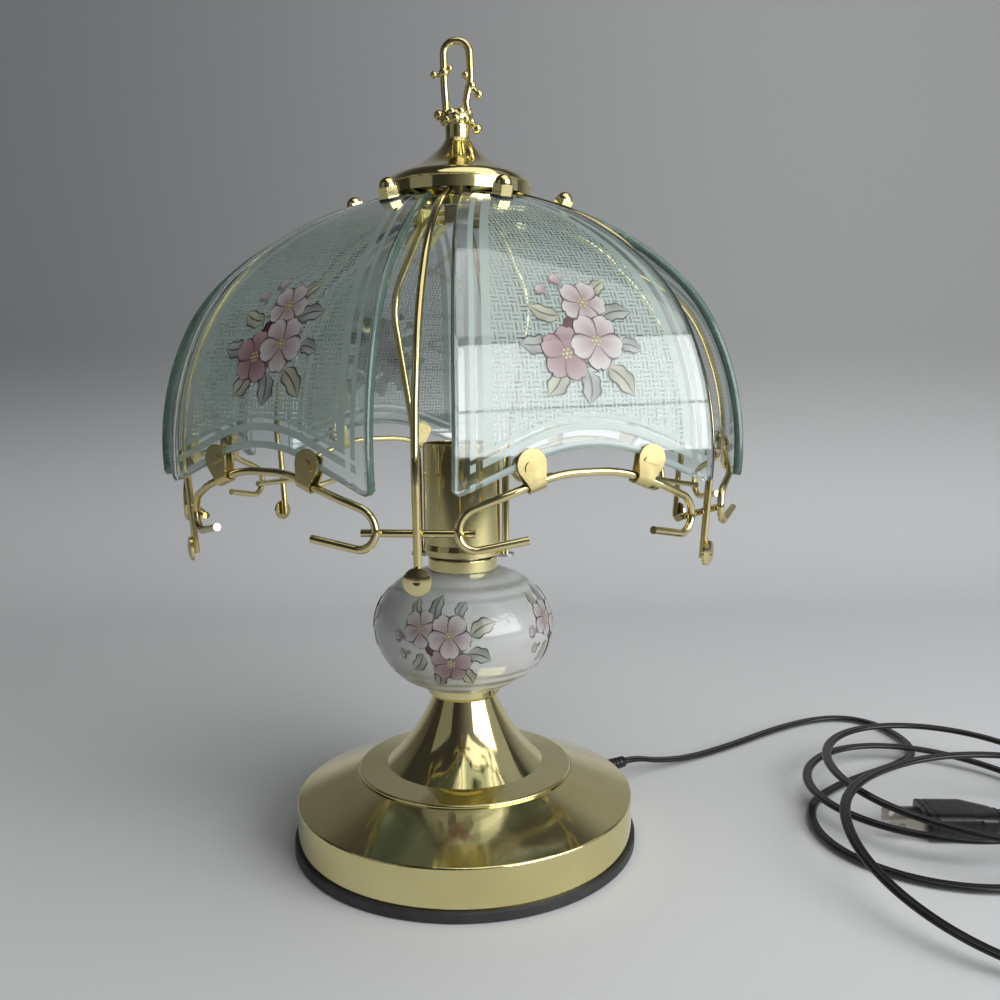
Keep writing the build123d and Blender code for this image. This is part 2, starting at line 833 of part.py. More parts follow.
# Rib: flat on the hub, over its edge, down between two panels
with BuildPart() as rib:
    with BuildLine():
        crook_mid = crook_centre + toward(rib_crook_r, rib_slope / 2)
        bow_mid = bow_centre + toward(rib_bow_r, rib_slope + rib_bow_turn / 2)
        crook_start = Vector(rib_crook_start, rib_tail_z)
        Line((rib_tail_r, 0, rib_tail_z), (rib_crook_start, 0, rib_tail_z))
        ThreePointArc(*[(p.X, 0, p.Y) for p in (crook_start, crook_mid, crook_end)])
        Line((crook_end.X, 0, crook_end.Y), (run_end.X, 0, run_end.Y))
        ThreePointArc(*[(p.X, 0, p.Y) for p in (run_end, bow_mid, bow_end)])
        Line((bow_end.X, 0, bow_end.Y), (leg_end.X, 0, leg_end.Y))
    with BuildSketch(Plane((rib_tail_r, 0, rib_tail_z), z_dir=(1, 0, 0))):
        Circle(rib_wire_r)
    sweep()
for number, angle in enumerate(rib_angles, 1):
    write(rib.part.rotate(Axis.Z, angle), f"rib_{number}")

# Domed discs on the outside of the ribs' lower ends
with BuildPart() as rib_discs:
    disc_at = leg_end - leg_way * disc_up
    disc_out = Vector(-leg_way.Y, leg_way.X)
    back = disc_at + disc_out * (rib_wire_r + seat_gap / 2)
    crown_arc_r = (disc_r**2 + disc_crown**2) / (2 * disc_crown)
    for angle in rib_angles:
        turn = math.radians(angle)
        face = Plane(
            origin=(back.X * math.cos(turn), back.X * math.sin(turn), back.Y),
            x_dir=(-math.sin(turn), math.cos(turn), 0),
            z_dir=(disc_out.X * math.cos(turn), disc_out.X * math.sin(turn), disc_out.Y),
        )
        with BuildSketch(Plane(face.origin, x_dir=face.x_dir, z_dir=face.y_dir)):
            with BuildLine():
                Polyline((0, -disc_t - disc_crown), (0, 0), (disc_r, 0), (disc_r, -disc_t))
                RadiusArc((disc_r, -disc_t), (0, -disc_t - disc_crown), crown_arc_r)
            make_face()
        revolve(axis=Axis(face.origin, face.z_dir))
write(rib_discs.part, "rib_discs")

# Short rods behind the ribs, against the scroll loops on both sides
with BuildPart() as cross_rods:
    half_length = loop_offset + scroll_wire_r + cross_rod_stub
    rod_r = leg_r - (rib_wire_r + cross_rod_r + seat_gap / 2) / math.sin(math.radians(leg_slope))
    for angle in rib_angles:
        turn = math.radians(angle)
        across = Vector(-math.sin(turn), math.cos(turn), 0)
        middle = Vector(rod_r * math.cos(turn), rod_r * math.sin(turn), cross_rod_z)
        with BuildSketch(Plane(middle, z_dir=across)):
            Circle(cross_rod_r)
        extrude(amount=half_length, both=True)
write(cross_rods.part, "cross_rods")

# Scroll wire: a shallow arch under the panel with a loop and a hook at each end
scroll_half = [
    Vector(wire_r, wire_crown_half, wire_crown_z),
    Vector(wire_r, wire_shoulder, wire_shoulder_z),
    Vector(loop_out, loop_across, loop_top_z),
    Vector(loop_out, loop_across, loop_foot_z),
]
loop_back = Vector(wire_r - loop_out, wire_shoulder - loop_across, 0).normalized()
scroll_half.append(scroll_half[3] + loop_back * hook_length + Vector(0, 0, hook_rise))


def fitted_bends(points, bends):
    # bends as named, or smaller where two of them would use up the run between them
    reaches = [0.0]
    for before, here, after, bend in zip(points, points[1:], points[2:], bends):
        reaches.append(bend * math.tan(math.radians((here - before).get_angle(after - here)) / 2))
    reaches.append(0.0)
    runs = [(there - here).length for here, there in zip(points, points[1:])]
    room = [run * bend_share / (here + there) for run, here, there in zip(runs, reaches, reaches[1:])]
    return [bend * min(1, before, after) for bend, before, after in zip(bends, room, room[1:])]


with BuildPart() as scroll_wire:
    bends = [loop_foot_bend, loop_top_bend, wire_shoulder_bend, wire_crown_bend]
    other_half = [Vector(p.X, -p.Y, p.Z) for p in scroll_half]
    wire_points = [*reversed(scroll_half), *other_half]
    with BuildLine():
        FilletPolyline(*wire_points, radius=fitted_bends(wire_points, [*bends, *reversed(bends)]))
    with BuildSketch(Plane(scroll_half[4], z_dir=scroll_half[3] - scroll_half[4])):
        Circle(scroll_wire_r)
    sweep()
for number, angle in enumerate(panel_angles, 1):
    write(scroll_wire.part.rotate(Axis.Z, angle), f"scroll_wire_{number}")

# Clip: a strip folded round the scroll wire, with a round face tab before the glass and a tab behind it
wire_way = (scroll_half[1] - scroll_half[0]).normalized()
clip_share = (clip_along - wire_crown_half) / (wire_shoulder - wire_crown_half)
clip_spot = scroll_half[0] + (scroll_half[1] - scroll_half[0]) * clip_share
clip_gap = max(glass_t / 2, scroll_wire_r) + clip_play
with BuildPart() as clip:
    across_wire = Plane(clip_spot, x_dir=(1, 0, 0), z_dir=wire_way)
    with BuildSketch(across_wire):
        with BuildLine():
            side = across_wire.y_dir.Z
            up = 1 if side > 0 else -1
            fold = up * clip_fold_h
            outer = clip_gap + clip_t
            Polyline((clip_gap, 0), (clip_gap, fold), (outer, fold), (outer, 0))
            ThreePointArc((outer, 0), (0, -up * outer), (-outer, 0))
            Polyline((-outer, 0), (-outer, fold), (-clip_gap, fold), (-clip_gap, 0))
            ThreePointArc((-clip_gap, 0), (0, -up * clip_gap), (clip_gap, 0))
        make_face()
    extrude(amount=clip_neck_w / 2, both=True)
    face_up = across_wire.y_dir * up
    face_root = clip_spot + Vector(clip_gap, 0, 0) + face_up * clip_face_h
    with BuildSketch(Plane(face_root, x_dir=wire_way, z_dir=(1, 0, 0))):
        Circle(clip_w / 2)
        with Locations((0, clip_fold_h / 2 - clip_face_h)):
            Rectangle(clip_neck_w, clip_fold_h)
        make_hull()
    extrude(amount=clip_t)
    back_root = clip_spot - Vector(clip_gap + clip_t, 0, 0)
    with BuildSketch(Plane(back_root, x_dir=wire_way, z_dir=(1, 0, 0))):
        with Locations((0, clip_fold_h / 2)):
            Rectangle(clip_neck_w, clip_fold_h)
        with Locations((0, clip_back_h - clip_back_w / 4)):
            RectangleRounded(clip_back_w, clip_back_w / 2, clip_back_w / 5)
        make_hull()
    extrude(amount=clip_t)
    boss_root = face_root + Vector(clip_t, 0, 0) - face_up * (clip_boss_r / 2)
    with BuildSketch(Plane(boss_root, x_dir=wire_way, z_dir=(1, 0, 0))) as boss:
        with BuildLine():
            rise = 1 if boss.workplanes[0].y_dir.Z > 0 else -1
            ThreePointArc((clip_boss_r, 0), (0, rise * clip_boss_r), (-clip_boss_r, 0))
            Line((-clip_boss_r, 0), (clip_boss_r, 0))
        make_face()
    extrude(amount=clip_boss_t)
with BuildPart() as glass_clips:
    for angle in panel_angles:
        add(clip.part.rotate(Axis.Z, angle))
        add(mirror(clip.part, about=Plane.XZ, mode=Mode.PRIVATE).rotate(Axis.Z, angle))
write(glass_clips.part, "glass_clips")

# Cap: band with a bead, round shoulder and a hollow cone up to the finial's seat
with BuildPart() as cap:
    with BuildSketch(Plane.XZ):
        with BuildLine():
            edge = Vector(cap_r, cap_foot_z + cap_band_h)
            brow = Vector(cap_shoulder_r, cap_foot_z + cap_shoulder_h)
            peak = Vector(cap_top_r, cap_top)
            brow_mid = (edge + brow) / 2 + Vector(0.6, 0.6)
            cone = (peak - brow).normalized()
            cone_in = Vector(-cone.Y, cone.X)
            cone_mid = (brow + peak) / 2 + cone_in * cap_hollow
            step = Vector(-sheet, -sheet)
            peak_in = Vector(cap_top_r - sheet / 2, cap_top - sheet)
            Line((cap_r, cap_foot_z), (edge.X, edge.Y))
            arc_through([edge, brow_mid, brow])
            arc_through([brow, cone_mid, peak])
            Polyline(
                (peak.X, peak.Y),
                (stud_r + slip_gap, cap_top),
                (stud_r + slip_gap, cap_top - sheet),
                (peak_in.X, peak_in.Y),
            )
            arc_through([peak_in, cone_mid + cone_in * sheet, brow + step])
            Polyline(
                ((brow + step).X, (brow + step).Y),
                (cap_r - sheet, edge.Y - sheet),
                (cap_r - sheet, cap_foot_z),
                (cap_r, cap_foot_z),
            )
        make_face()
        with Locations((cap_r, cap_foot_z + cap_band_h)):
            Circle(cap_bead)
    revolve(axis=Axis.Z)
write(cap.part, "cap")

# Finial: turned neck, leafy cup and a cast loop with curls that end in small balls, as one casting
def finial_spot(across, height):
    return Vector(across, 0, finial_foot_z + height)


arch_h = finial_h - finial_wire_r
loop_path = [
    finial_spot(-4.6, finial_neck_h + 2),
    finial_spot(finial_left_x + 0.3, 25),
    finial_spot(finial_left_x, arch_h),
    finial_spot(finial_right_x, arch_h),
    finial_spot(finial_right_x + 0.5, 26),
    finial_spot(3.5, 16.5),
    finial_spot(5.2, finial_neck_h + 2),
]
# Root, ball centre and ball radius of each curl, across and up from the finial's foot
curls = [
    ((-5.5, 28.4), (-9.8, 28.2), 1.6),
    ((-5.6, 28.6), (-3.2, 30.6), 1.5),
    ((-5.5, 27.2), (-5.6, 28.8), 2.2),
    ((5.6, 25.2), (3.6, 27.6), 1.7),
    ((5.5, 24.4), (6.1, 23.4), 1.9),
    ((5.6, 23.0), (9.0, 19.8), 1.9),
    ((-4.6, 10.2), (-7.9, 11.8), 2.2),
    ((5.0, 8.8), (8.2, 5.8), 2.2),
]
with BuildPart() as finial:
    with BuildSketch(Plane.XZ):
        with BuildLine():
            neck_top = finial_foot_z + finial_neck_h
            cup_rim = (finial_cup_r * 0.72, neck_top + finial_cup_h)
            Polyline(
                (0, finial_foot_z),
                (finial_foot_r, finial_foot_z),
                (finial_neck_r, finial_foot_z + finial_neck_h / 4),
                (finial_neck_r, neck_top),
            )
            ThreePointArc((finial_neck_r, neck_top), (finial_cup_r, neck_top + finial_cup_h / 2), cup_rim)
            Polyline(cup_rim, (0, neck_top + finial_cup_h * 0.75), (0, finial_foot_z))
        make_face()
    revolve(axis=Axis.Z)
    leaf_step = 360 / finial_leaves
    for row, (out, height) in enumerate([(0.88, 0.30), (0.80, 0.78)]):
        with Locations((0, 0, neck_top + finial_cup_h * height)):
            with PolarLocations(finial_cup_r * out, finial_leaves, start_angle=row * leaf_step / 2):
                Sphere(finial_leaf_r)
    with BuildLine():
        FilletPolyline(*loop_path, radius=[20, finial_arch_bend, finial_arch_bend, 8, 5])
    with BuildSketch(Plane(loop_path[0], z_dir=loop_path[1] - loop_path[0])):
        Circle(finial_wire_r)
    sweep()
    for root_at, ball_at, ball_radius in curls:
        root = finial_spot(*root_at)
        tip = finial_spot(*ball_at)
        with BuildSketch(Plane(root, z_dir=tip - root)):
            Circle(finial_arm_r)
        extrude(amount=(tip - root).length)
        with Locations(tip):
            Sphere(ball_radius)
    with BuildSketch(Plane.XY.offset(finial_foot_z)):
        Circle(stud_r + thread_gap)
    extrude(amount=stud_grip + slip_gap, mode=Mode.SUBTRACT)
write(finial.part, "finial")

# Cord from the bushing over the table to the coil
cord_z = cord_r + cord_lift
exit_at = relief_at + relief_length
exit_point = Vector(
    exit_at * math.cos(math.radians(cord_angle)), exit_at * math.sin(math.radians(cord_angle)), cord_exit_h
)
cord_points = [
    exit_point,
    exit_point + cord_way.z_dir * 8,
    Vector(94, 79.2, 5.2),
    Vector(112, 92, cord_z),
    Vector(138, 113, cord_z),
    Vector(163, 137, cord_z),
    Vector(189, 156.5, cord_z),
    Vector(210, 163, cord_z),
    Vector(225.5, 154.5, cord_z),
    Vector(234, 136, cord_z),
    Vector(236, 116, cord_z),
    Vector(230, 98, cord_z),
]


def corner_radii(points):
    # the largest arcs that the runs beside each corner leave room for
    radii = []
    for before, here, after in zip(points, points[1:], points[2:]):
        turn = math.radians((here - before).get_angle(after - here))
        shorter = min((here - before).length, (after - here).length)
        radii.append(0.45 * shorter / math.tan(turn / 2))
    return radii


# Coil: loose turns of differing size that wander over the table and cross over each other.
# Each row holds the turn count, the centre, the radius and the lift above the table layer there.
coil_turns = [
    (0.0, 223.0, 12.0, 63.0, 0.0),
    (0.6, 225.0, 31.0, 62.5, 0.0),
    (1.0, 226.0, 42.0, 62.0, 6.4),
    (2.0, 232.0, 54.0, 56.0, 14.8),
    (2.65, 232.0, 14.0, 62.0, 19.3),
    (3.05, 231.0, -26.0, 66.0, 20.3),
    (3.4, 231.0, -34.0, 68.0, 1.8),
    (3.72, 231.0, -34.0, 66.0, 5.3),
]
coil_end_turn = coil_turns[-1][0]
piece_turn = coil_end_turn / coil_pieces


def coil_point(turn):
    angle = math.radians(coil_start) + 2 * math.pi * turn
    for last, row in zip(coil_turns, coil_turns[1:]):
        if turn <= row[0]:
            break
    share = min((turn - last[0]) / (row[0] - last[0]), 1)
    share = 3 * share**2 - 2 * share**3
    x, y, radius, lift = [here + (there - here) * share for here, there in zip(last[1:], row[1:])]
    return Vector(x + radius * math.cos(angle), y + radius * math.sin(angle), cord_z + lift)


def coil_way(turn):
    small = 1e-4
    low = max(turn - small, 0)
    high = min(turn + small, coil_end_turn)
    return (coil_point(high) - coil_point(low)).normalized()


def biarc(start, start_way, end, end_way):
    # two arcs that leave the start and reach the end along the given ways
    span = end - start
    both = start_way + end_way
    spread = 2 * (1 - start_way.dot(end_way))
    ahead = span.dot(both)
    reach = (math.sqrt(ahead**2 + spread * span.dot(span)) - ahead) / spread
    first = start + start_way * reach
    last = end - end_way * reach
    joint = (first + last) / 2
    TangentArc(start, joint, tangent=start_way)
    TangentArc(joint, end, tangent=(last - first).normalized())


lead_in = coil_point(0) - coil_way(0) * 2 * cord_r
cord_points.append(lead_in - coil_way(0) * 18)
cord_points.append(lead_in)
cord_radii = corner_radii(cord_points)
print("cord radii", [round(r, 1) for r in cord_radii])
with BuildPart() as power_cord:
    with BuildLine() as cord_line:
        FilletPolyline(*cord_points, radius=cord_radii)
    with BuildSketch(Plane(cord_points[0], z_dir=cord_points[1] - cord_points[0])):
        Circle(cord_r)
    sweep()


def tube_report(name, line, tube):
    # length of a swept tube, and its volume against section times length
    length = sum(edge.length for edge in line.edges())
    print(name, "length", round(length, 1), "fill", round(tube.volume / (math.pi * cord_r**2 * length), 4))
    return length


cord_length = tube_report("cord", cord_line, power_cord.part)
write(power_cord.part, "power_cord")

with BuildPart() as cord_coil:
    with BuildLine() as coil_line:
        Line(lead_in, coil_point(0))
        for step in range(coil_pieces):
            here = step * piece_turn
            there = here + piece_turn
            biarc(coil_point(here), coil_way(here), coil_point(there), coil_way(there))
        lead_out = coil_point(coil_end_turn) + coil_way(coil_end_turn) * 2 * cord_r
        Line(coil_point(coil_end_turn), lead_out)
    with BuildSketch(Plane(lead_in, z_dir=coil_way(0))):
        Circle(cord_r)
    sweep()
coil_length = tube_report("coil", coil_line, cord_coil.part)
samples = [coil_point(i / 60) for i in range(round(coil_end_turn * 60) + 1)]
least = min(
    (samples[i] - samples[j]).length for i in range(len(samples)) for j in range(i + 9, len(samples))
)
print("least gap between loops", round(least - 2 * cord_r, 2))
write(cord_coil.part, "cord_coil")

# Tail: it curls over the first turn, back to the plug that lies on the table inside the loops
plug_z = cord_lift + plug_h / 2
end_way = coil_way(coil_end_turn)
tail_way = Vector(end_way.X, end_way.Y, 0).normalized()
curl_start = lead_out + tail_way * tail_run
curl_side = Vector(-tail_way.Y, tail_way.X, 0)
curl_centre = curl_start + curl_side * tail_curl_r
curl_step = tail_curl_turn / tail_corners
first_run = tail_run + tail_curl_r * math.tan(math.radians(curl_step / 2))
first_z = lead_out.Z + first_run * end_way.Z / math.hypot(end_way.X, end_way.Y)
tail_points = [lead_out]
for corner in range(tail_corners):
    turned = math.radians((corner + 0.5) * curl_step)
    out = tail_curl_r / math.cos(math.radians(curl_step / 2))
    spot = curl_centre + (tail_way * math.sin(turned) - curl_side * math.cos(turned)) * out
    share = math.sin(math.pi / 2 * corner / (tail_corners - 1))
    tail_points.append(Vector(spot.X, spot.Y, first_z + (plug_z - first_z) * share))
last_way = tail_way.rotate(Axis.Z, tail_curl_turn)
last_run = tail_curl_r * math.tan(math.radians(curl_step / 2)) + 2 * cord_r + tail_end_run
tail_points.append(tail_points[-1] + last_way * last_run)
tail_radii = corner_radii(tail_points)
print("tail radii", [round(r, 1) for r in tail_radii])
with BuildPart() as cord_tail:
    with BuildLine() as tail_line:
        FilletPolyline(*tail_points, radius=tail_radii)
    with BuildSketch(Plane(tail_points[0], z_dir=tail_points[1] - tail_points[0])):
        Circle(cord_r)
    sweep()
tail_length = tube_report("tail", tail_line, cord_tail.part)
write(cord_tail.part, "cord_tail")
print("whole cord", round(cord_length + coil_length + tail_length, 1))

# Plug: flat moulded body, ribbed neck towards the cord, two blades with holes
plug_way = (tail_points[-1] - tail_points[-2]).normalized()
plug_plane = Plane(tail_points[-1], x_dir=(-plug_way.Y, plug_way.X, 0), z_dir=plug_way)
with BuildPart() as plug_body:
    with BuildSketch(plug_plane):
        Circle(plug_neck_r)
    with BuildSketch(plug_plane.offset(plug_neck_length)):
        RectangleRounded(plug_w * 0.75, plug_h * 0.8, plug_h * 0.3)
    loft()
    with BuildSketch(plug_plane.offset(plug_neck_length)):
        RectangleRounded(plug_w * 0.75, plug_h * 0.8, plug_h * 0.3)
    with BuildSketch(plug_plane.offset(plug_neck_length + plug_length * 0.35)):
        RectangleRounded(plug_w, plug_h, plug_h * 0.3)
    loft()
    with BuildSketch(plug_plane.offset(plug_neck_length + plug_length * 0.35)):
        RectangleRounded(plug_w, plug_h, plug_h * 0.3)
    extrude(amount=plug_length * 0.65)
write(plug_body.part, "plug_body")

with BuildPart() as plug_blades:
    with BuildSketch(plug_plane.offset(plug_neck_length + plug_length)):
        with Locations((-blade_pitch / 2, 0), (blade_pitch / 2, 0)):
            Rectangle(blade_t, blade_w)
    extrude(amount=blade_length)
    hole_plane = Plane(
        plug_plane.offset(plug_neck_length + plug_length + blade_length * 0.72).origin,
        x_dir=plug_plane.z_dir,
        z_dir=plug_plane.x_dir,
    )
    with BuildSketch(hole_plane.offset(-blade_pitch)):
        Circle(blade_hole_r)
    extrude(amount=2 * blade_pitch, mode=Mode.SUBTRACT)
write(plug_blades.part, "plug_blades")
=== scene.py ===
import bpy
import math
import bmesh
import numpy as np
from mathutils import Matrix, Vector


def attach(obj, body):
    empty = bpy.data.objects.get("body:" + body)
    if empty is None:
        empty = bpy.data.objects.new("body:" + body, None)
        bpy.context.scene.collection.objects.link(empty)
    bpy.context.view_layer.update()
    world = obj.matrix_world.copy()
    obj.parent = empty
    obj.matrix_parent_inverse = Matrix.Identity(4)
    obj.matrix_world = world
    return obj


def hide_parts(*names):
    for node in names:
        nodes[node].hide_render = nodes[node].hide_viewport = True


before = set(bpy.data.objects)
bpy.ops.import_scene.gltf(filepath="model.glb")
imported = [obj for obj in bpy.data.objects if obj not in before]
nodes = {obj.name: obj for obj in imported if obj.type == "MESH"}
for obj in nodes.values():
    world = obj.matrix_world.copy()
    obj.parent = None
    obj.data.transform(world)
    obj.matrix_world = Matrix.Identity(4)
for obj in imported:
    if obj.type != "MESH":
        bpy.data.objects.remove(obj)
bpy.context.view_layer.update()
mm = 0.001
panelCount = 6
print("frame:", len(nodes), "nodes")


# meshes from arrays
def gridFaces(rows, cols, wrapCols=False, start=0):
    # quads of a rows x cols grid, optionally closed round its columns
    r = np.arange(rows - 1)[:, None]
    c = np.arange(cols if wrapCols else cols - 1)[None, :]
    here, below, c2 = r * cols, (r + 1) * cols, (c + 1) % cols
    quads = np.stack(np.broadcast_arrays(here + c, here + c2, below + c2, below + c), -1)
    return quads.reshape(-1, 4) + start


def tubeFaces(rows, cols):
    # rings joined round, with a cap on either end
    return [*gridFaces(rows, cols, True), np.arange(cols)[::-1], (rows - 1) * cols + np.arange(cols)]


def addPiece(name, points, faces, body, materials, faceMaterial=None, recalc=True):
    # points in millimetres, faces a list of index rows
    mesh = bpy.data.meshes.new(name)
    mesh.from_pydata((np.asarray(points) * mm).tolist(), [], [list(map(int, f)) for f in faces])
    for material in materials:
        mesh.materials.append(material)
    if faceMaterial is not None:
        mesh.polygons.foreach_set("material_index", np.asarray(faceMaterial, np.int32))
    if recalc:
        work = bmesh.new()
        work.from_mesh(mesh)
        bmesh.ops.recalc_face_normals(work, faces=work.faces)
        work.to_mesh(mesh)
        work.free()
    mesh.polygons.foreach_set("use_smooth", np.ones(len(mesh.polygons), bool))
    mesh.update()
    piece = bpy.data.objects.new(name, mesh)
    bpy.context.scene.collection.objects.link(piece)
    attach(piece, body)
    return piece


def pointAttribute(piece, name, values):
    values = np.asarray(values, np.float32)
    kind = "FLOAT_VECTOR" if values.shape[1] == 3 else "FLOAT_COLOR"
    attribute = piece.data.attributes.new(name, kind, "POINT")
    attribute.data.foreach_set("vector" if kind == "FLOAT_VECTOR" else "color", values.ravel())


def sweptGrid(path, outline, ref):
    # outline (a, b) carried along a path: p + a s + b (t x s), s the part of ref square to the path
    t = np.gradient(path, axis=0)
    t /= np.linalg.norm(t, axis=1, keepdims=True)
    s = ref - (ref * t).sum(1, keepdims=True) * t
    s /= np.linalg.norm(s, axis=1, keepdims=True)
    n = np.cross(t, s)
    return path[:, None] + outline[:, :1] * s[:, None] + outline[:, 1:] * n[:, None]


def spun(points, degrees):
    # points turned about the upright axis
    c, s = math.cos(math.radians(degrees)), math.sin(math.radians(degrees))
    return np.asarray(points) @ np.array([[c, s, 0], [-s, c, 0], [0, 0, 1]])


# shader expressions
class Flow:
    # wraps a socket: operators add Math nodes, make() adds any other node
    def __init__(self, tree, socket=None):
        self.tree, self.socket = tree, socket

    def make(self, kind, settings=None, links=None, out=0):
        node = self.tree.nodes.new(kind)
        for key, value in (settings or {}).items():
            setattr(node, key, value)
        for key, value in (links or {}).items():
            if isinstance(value, Flow):
                self.tree.links.new(value.socket, node.inputs[key])
            else:
                node.inputs[key].default_value = value
        return Flow(self.tree, node.outputs[out])

    def math(self, operation, other=None):
        values = {i: v for i, v in enumerate((self, other)) if v is not None}
        return self.make("ShaderNodeMath", {"operation": operation}, values)

    def __add__(self, other): return self.math("ADD", other)
    def __mul__(self, other): return self.math("MULTIPLY", other)
    def __sub__(self, other): return self.math("SUBTRACT", other)
    def __rsub__(self, other): return (self * -1.0) + other
    def __truediv__(self, other): return self.math("DIVIDE", other)
    def __gt__(self, other): return self.math("GREATER_THAN", other)
    def __lt__(self, other): return self.math("LESS_THAN", other)
    def fract(self): return self.math("FRACT")
    def floor(self): return self.math("FLOOR")
    def size(self): return self.math("ABSOLUTE")
    def sine(self): return self.math("SINE")
    def modulo(self, other): return self.math("FLOORED_MODULO", other)

    def rise(self, low, high):
        # smooth step from 0 at low to 1 at high
        return self.make("ShaderNodeMapRange", {"interpolation_type": "SMOOTHSTEP"},
                         {"Value": self, "From Min": low, "From Max": high})

    def blend(self, first, second, kind="MIX"):
        # colour between two, by this value
        first, second = (c if isinstance(c, Flow) else (*c, 1) for c in (first, second))
        return self.make("ShaderNodeMix", {"data_type": "RGBA", "blend_type": kind}, {0: self, 6: first, 7: second}, 2)

    def parts(self):
        split = self.make("ShaderNodeSeparateXYZ", None, {0: self})
        return [Flow(self.tree, s) for s in split.socket.node.outputs]


def newFinish(name):
    material = bpy.data.materials.new(name)
    material.use_nodes = True
    material.node_tree.nodes.clear()
    return material, Flow(material.node_tree)


def principled(flow, inputs):
    return flow.make("ShaderNodeBsdfPrincipled", None, inputs)


def closeFinish(flow, shader):
    out = flow.tree.nodes.new("ShaderNodeOutputMaterial")
    flow.tree.links.new(shader.socket, out.inputs["Surface"])


def objectPlace(flow):
    return flow.make("ShaderNodeTexCoord", None, None, "Object")


def objectNoise(flow, scale, detail):
    return flow.make("ShaderNodeTexNoise", None, {"Vector": objectPlace(flow), "Scale": scale, "Detail": detail})


driftEdges = (0.3, 0.7)


def drifting(flow, scale, detail):
    # slow change between two tones
    return objectNoise(flow, scale, detail).rise(*driftEdges)


def bump(flow, height, strength, distance):
    return flow.make("ShaderNodeBump", None, {"Height": height, "Strength": strength, "Distance": distance})


# each noise is (scale, detail), each relief a distance in metres
plating = {"drift": (35.0, 2.0), "driftGloss": 0.03, "smudge": (140.0, 5.0), "smudgeEdges": (0.45, 0.75),
           "skin": (900.0, 2.0), "relief": 0.0001}
moulding = {"drift": (60.0, 3.0), "grainDetail": 3.0, "grainGloss": 0.14, "relief": 0.0002}


def brassFinish(name, light, dark, roughness, wear, depth=0.05):
    # polished plating: slow colour drift, fine smudges in the gloss, a faint rolled or cast texture
    material, flow = newFinish(name)
    drift = drifting(flow, *plating["drift"])
    smudge = objectNoise(flow, *plating["smudge"]).rise(*plating["smudgeEdges"])
    skin = objectNoise(flow, *plating["skin"])
    closeFinish(flow, principled(flow, {
        "Base Color": drift.blend(light, dark), "Metallic": 1.0,
        "Roughness": smudge * wear + drift * plating["driftGloss"] + roughness,
        "Normal": bump(flow, skin, depth, plating["relief"])}))
    return material


def plainFinish(name, light, dark, roughness, metallic, grain, depth):
    # moulded or cast surface: two near tones, a grain in gloss and relief
    material, flow = newFinish(name)
    tone = drifting(flow, *moulding["drift"])
    fine = objectNoise(flow, grain, moulding["grainDetail"])
    closeFinish(flow, principled(flow, {
        "Base Color": tone.blend(light, dark), "Metallic": metallic,
        "Roughness": fine * moulding["grainGloss"] + (roughness - moulding["grainGloss"] / 2),
        "Normal": bump(flow, fine, depth, moulding["relief"])}))
    return material


# name, light and dark tone, roughness, wear, texture depth
brass = brassFinish("brassPlating", (0.80, 0.72, 0.38), (0.74, 0.65, 0.31), 0.06, 0.06)
wireBrass = brassFinish("wirePlating", (0.78, 0.69, 0.38), (0.66, 0.55, 0.26), 0.05, 0.06)
castBrass = brassFinish("castPlating", (0.78, 0.69, 0.36), (0.64, 0.53, 0.24), 0.14, 0.12, 0.9)
clipGold = brassFinish("clipPlating", (0.75, 0.64, 0.33), (0.68, 0.55, 0.25), 0.20, 0.08)
contactBrass = brassFinish("contactBrass", (0.74, 0.58, 0.28), (0.62, 0.46, 0.20), 0.25, 0.10)
# name, light and dark tone, roughness, metallic, grain scale, texture depth
steel = plainFinish("zincSteel", (0.62, 0.62, 0.61), (0.50, 0.50, 0.50), 0.32, 1.0, 500.0, 0.1)
bladeMetal = plainFinish("bladeMetal", (0.60, 0.55, 0.48), (0.50, 0.45, 0.38), 0.34, 1.0, 500.0, 0.1)
castIron = plainFinish("ballastIron", (0.10, 0.10, 0.10), (0.16, 0.14, 0.12), 0.7, 0.6, 250.0, 0.6)
rubber = plainFinish("edgeRubber", (0.020, 0.021, 0.023), (0.035, 0.036, 0.038), 0.55, 0.0, 700.0, 0.3)
darkPlastic = plainFinish("blackMoulding", (0.005, 0.005, 0.006), (0.010, 0.010, 0.011), 0.25, 0.0, 500.0, 0.08)
modulePlastic = plainFinish("modulePlastic", (0.03, 0.03, 0.032), (0.05, 0.05, 0.05), 0.5, 0.0, 400.0, 0.2)
phenolic = plainFinish("socketMoulding", (0.035, 0.022, 0.015), (0.055, 0.035, 0.024), 0.35, 0.0, 350.0, 0.1)
fibreCard = plainFinish("sleeveCard", (0.40, 0.28, 0.16), (0.30, 0.20, 0.11), 0.75, 0.0, 260.0, 0.4)

finishes = {
    brass: ["base_drum", "base_bell", "lower_collar", "upper_cup", "socket_cover", "cap", "shade_hub", "acorn_nuts"],
    clipGold: ["glass_clips"],
    wireBrass: ["harp", "cross_rods", "rib_discs",
                *[f"{part}_{i}" for part in ("rib", "scroll_wire") for i in range(1, panelCount + 1)]],
    castBrass: ["finial"],
    steel: ["harp_saddle", "harp_stud", "lamp_pipe", "pipe_nut", "pipe_washer", "glass_screws", "bottom_cover"],
    rubber: ["base_ring", "glass_washers"],
    castIron: ["base_weight"],
    modulePlastic: ["touch_module"],
    darkPlastic: ["cord_bushing", "plug_body", "power_cord", "cord_coil", "cord_tail"],
    phenolic: ["socket_base"],
    fibreCard: ["insulating_sleeve"],
    contactBrass: ["socket_shell", "centre_contact"],
    bladeMetal: ["plug_blades"],
}


def setFinish(name, finish):
    nodes[name].data.materials.clear()
    nodes[name].data.materials.append(finish)


for finish, names in finishes.items():
    for name in names:
        setFinish(name, finish)
print("finishes set")

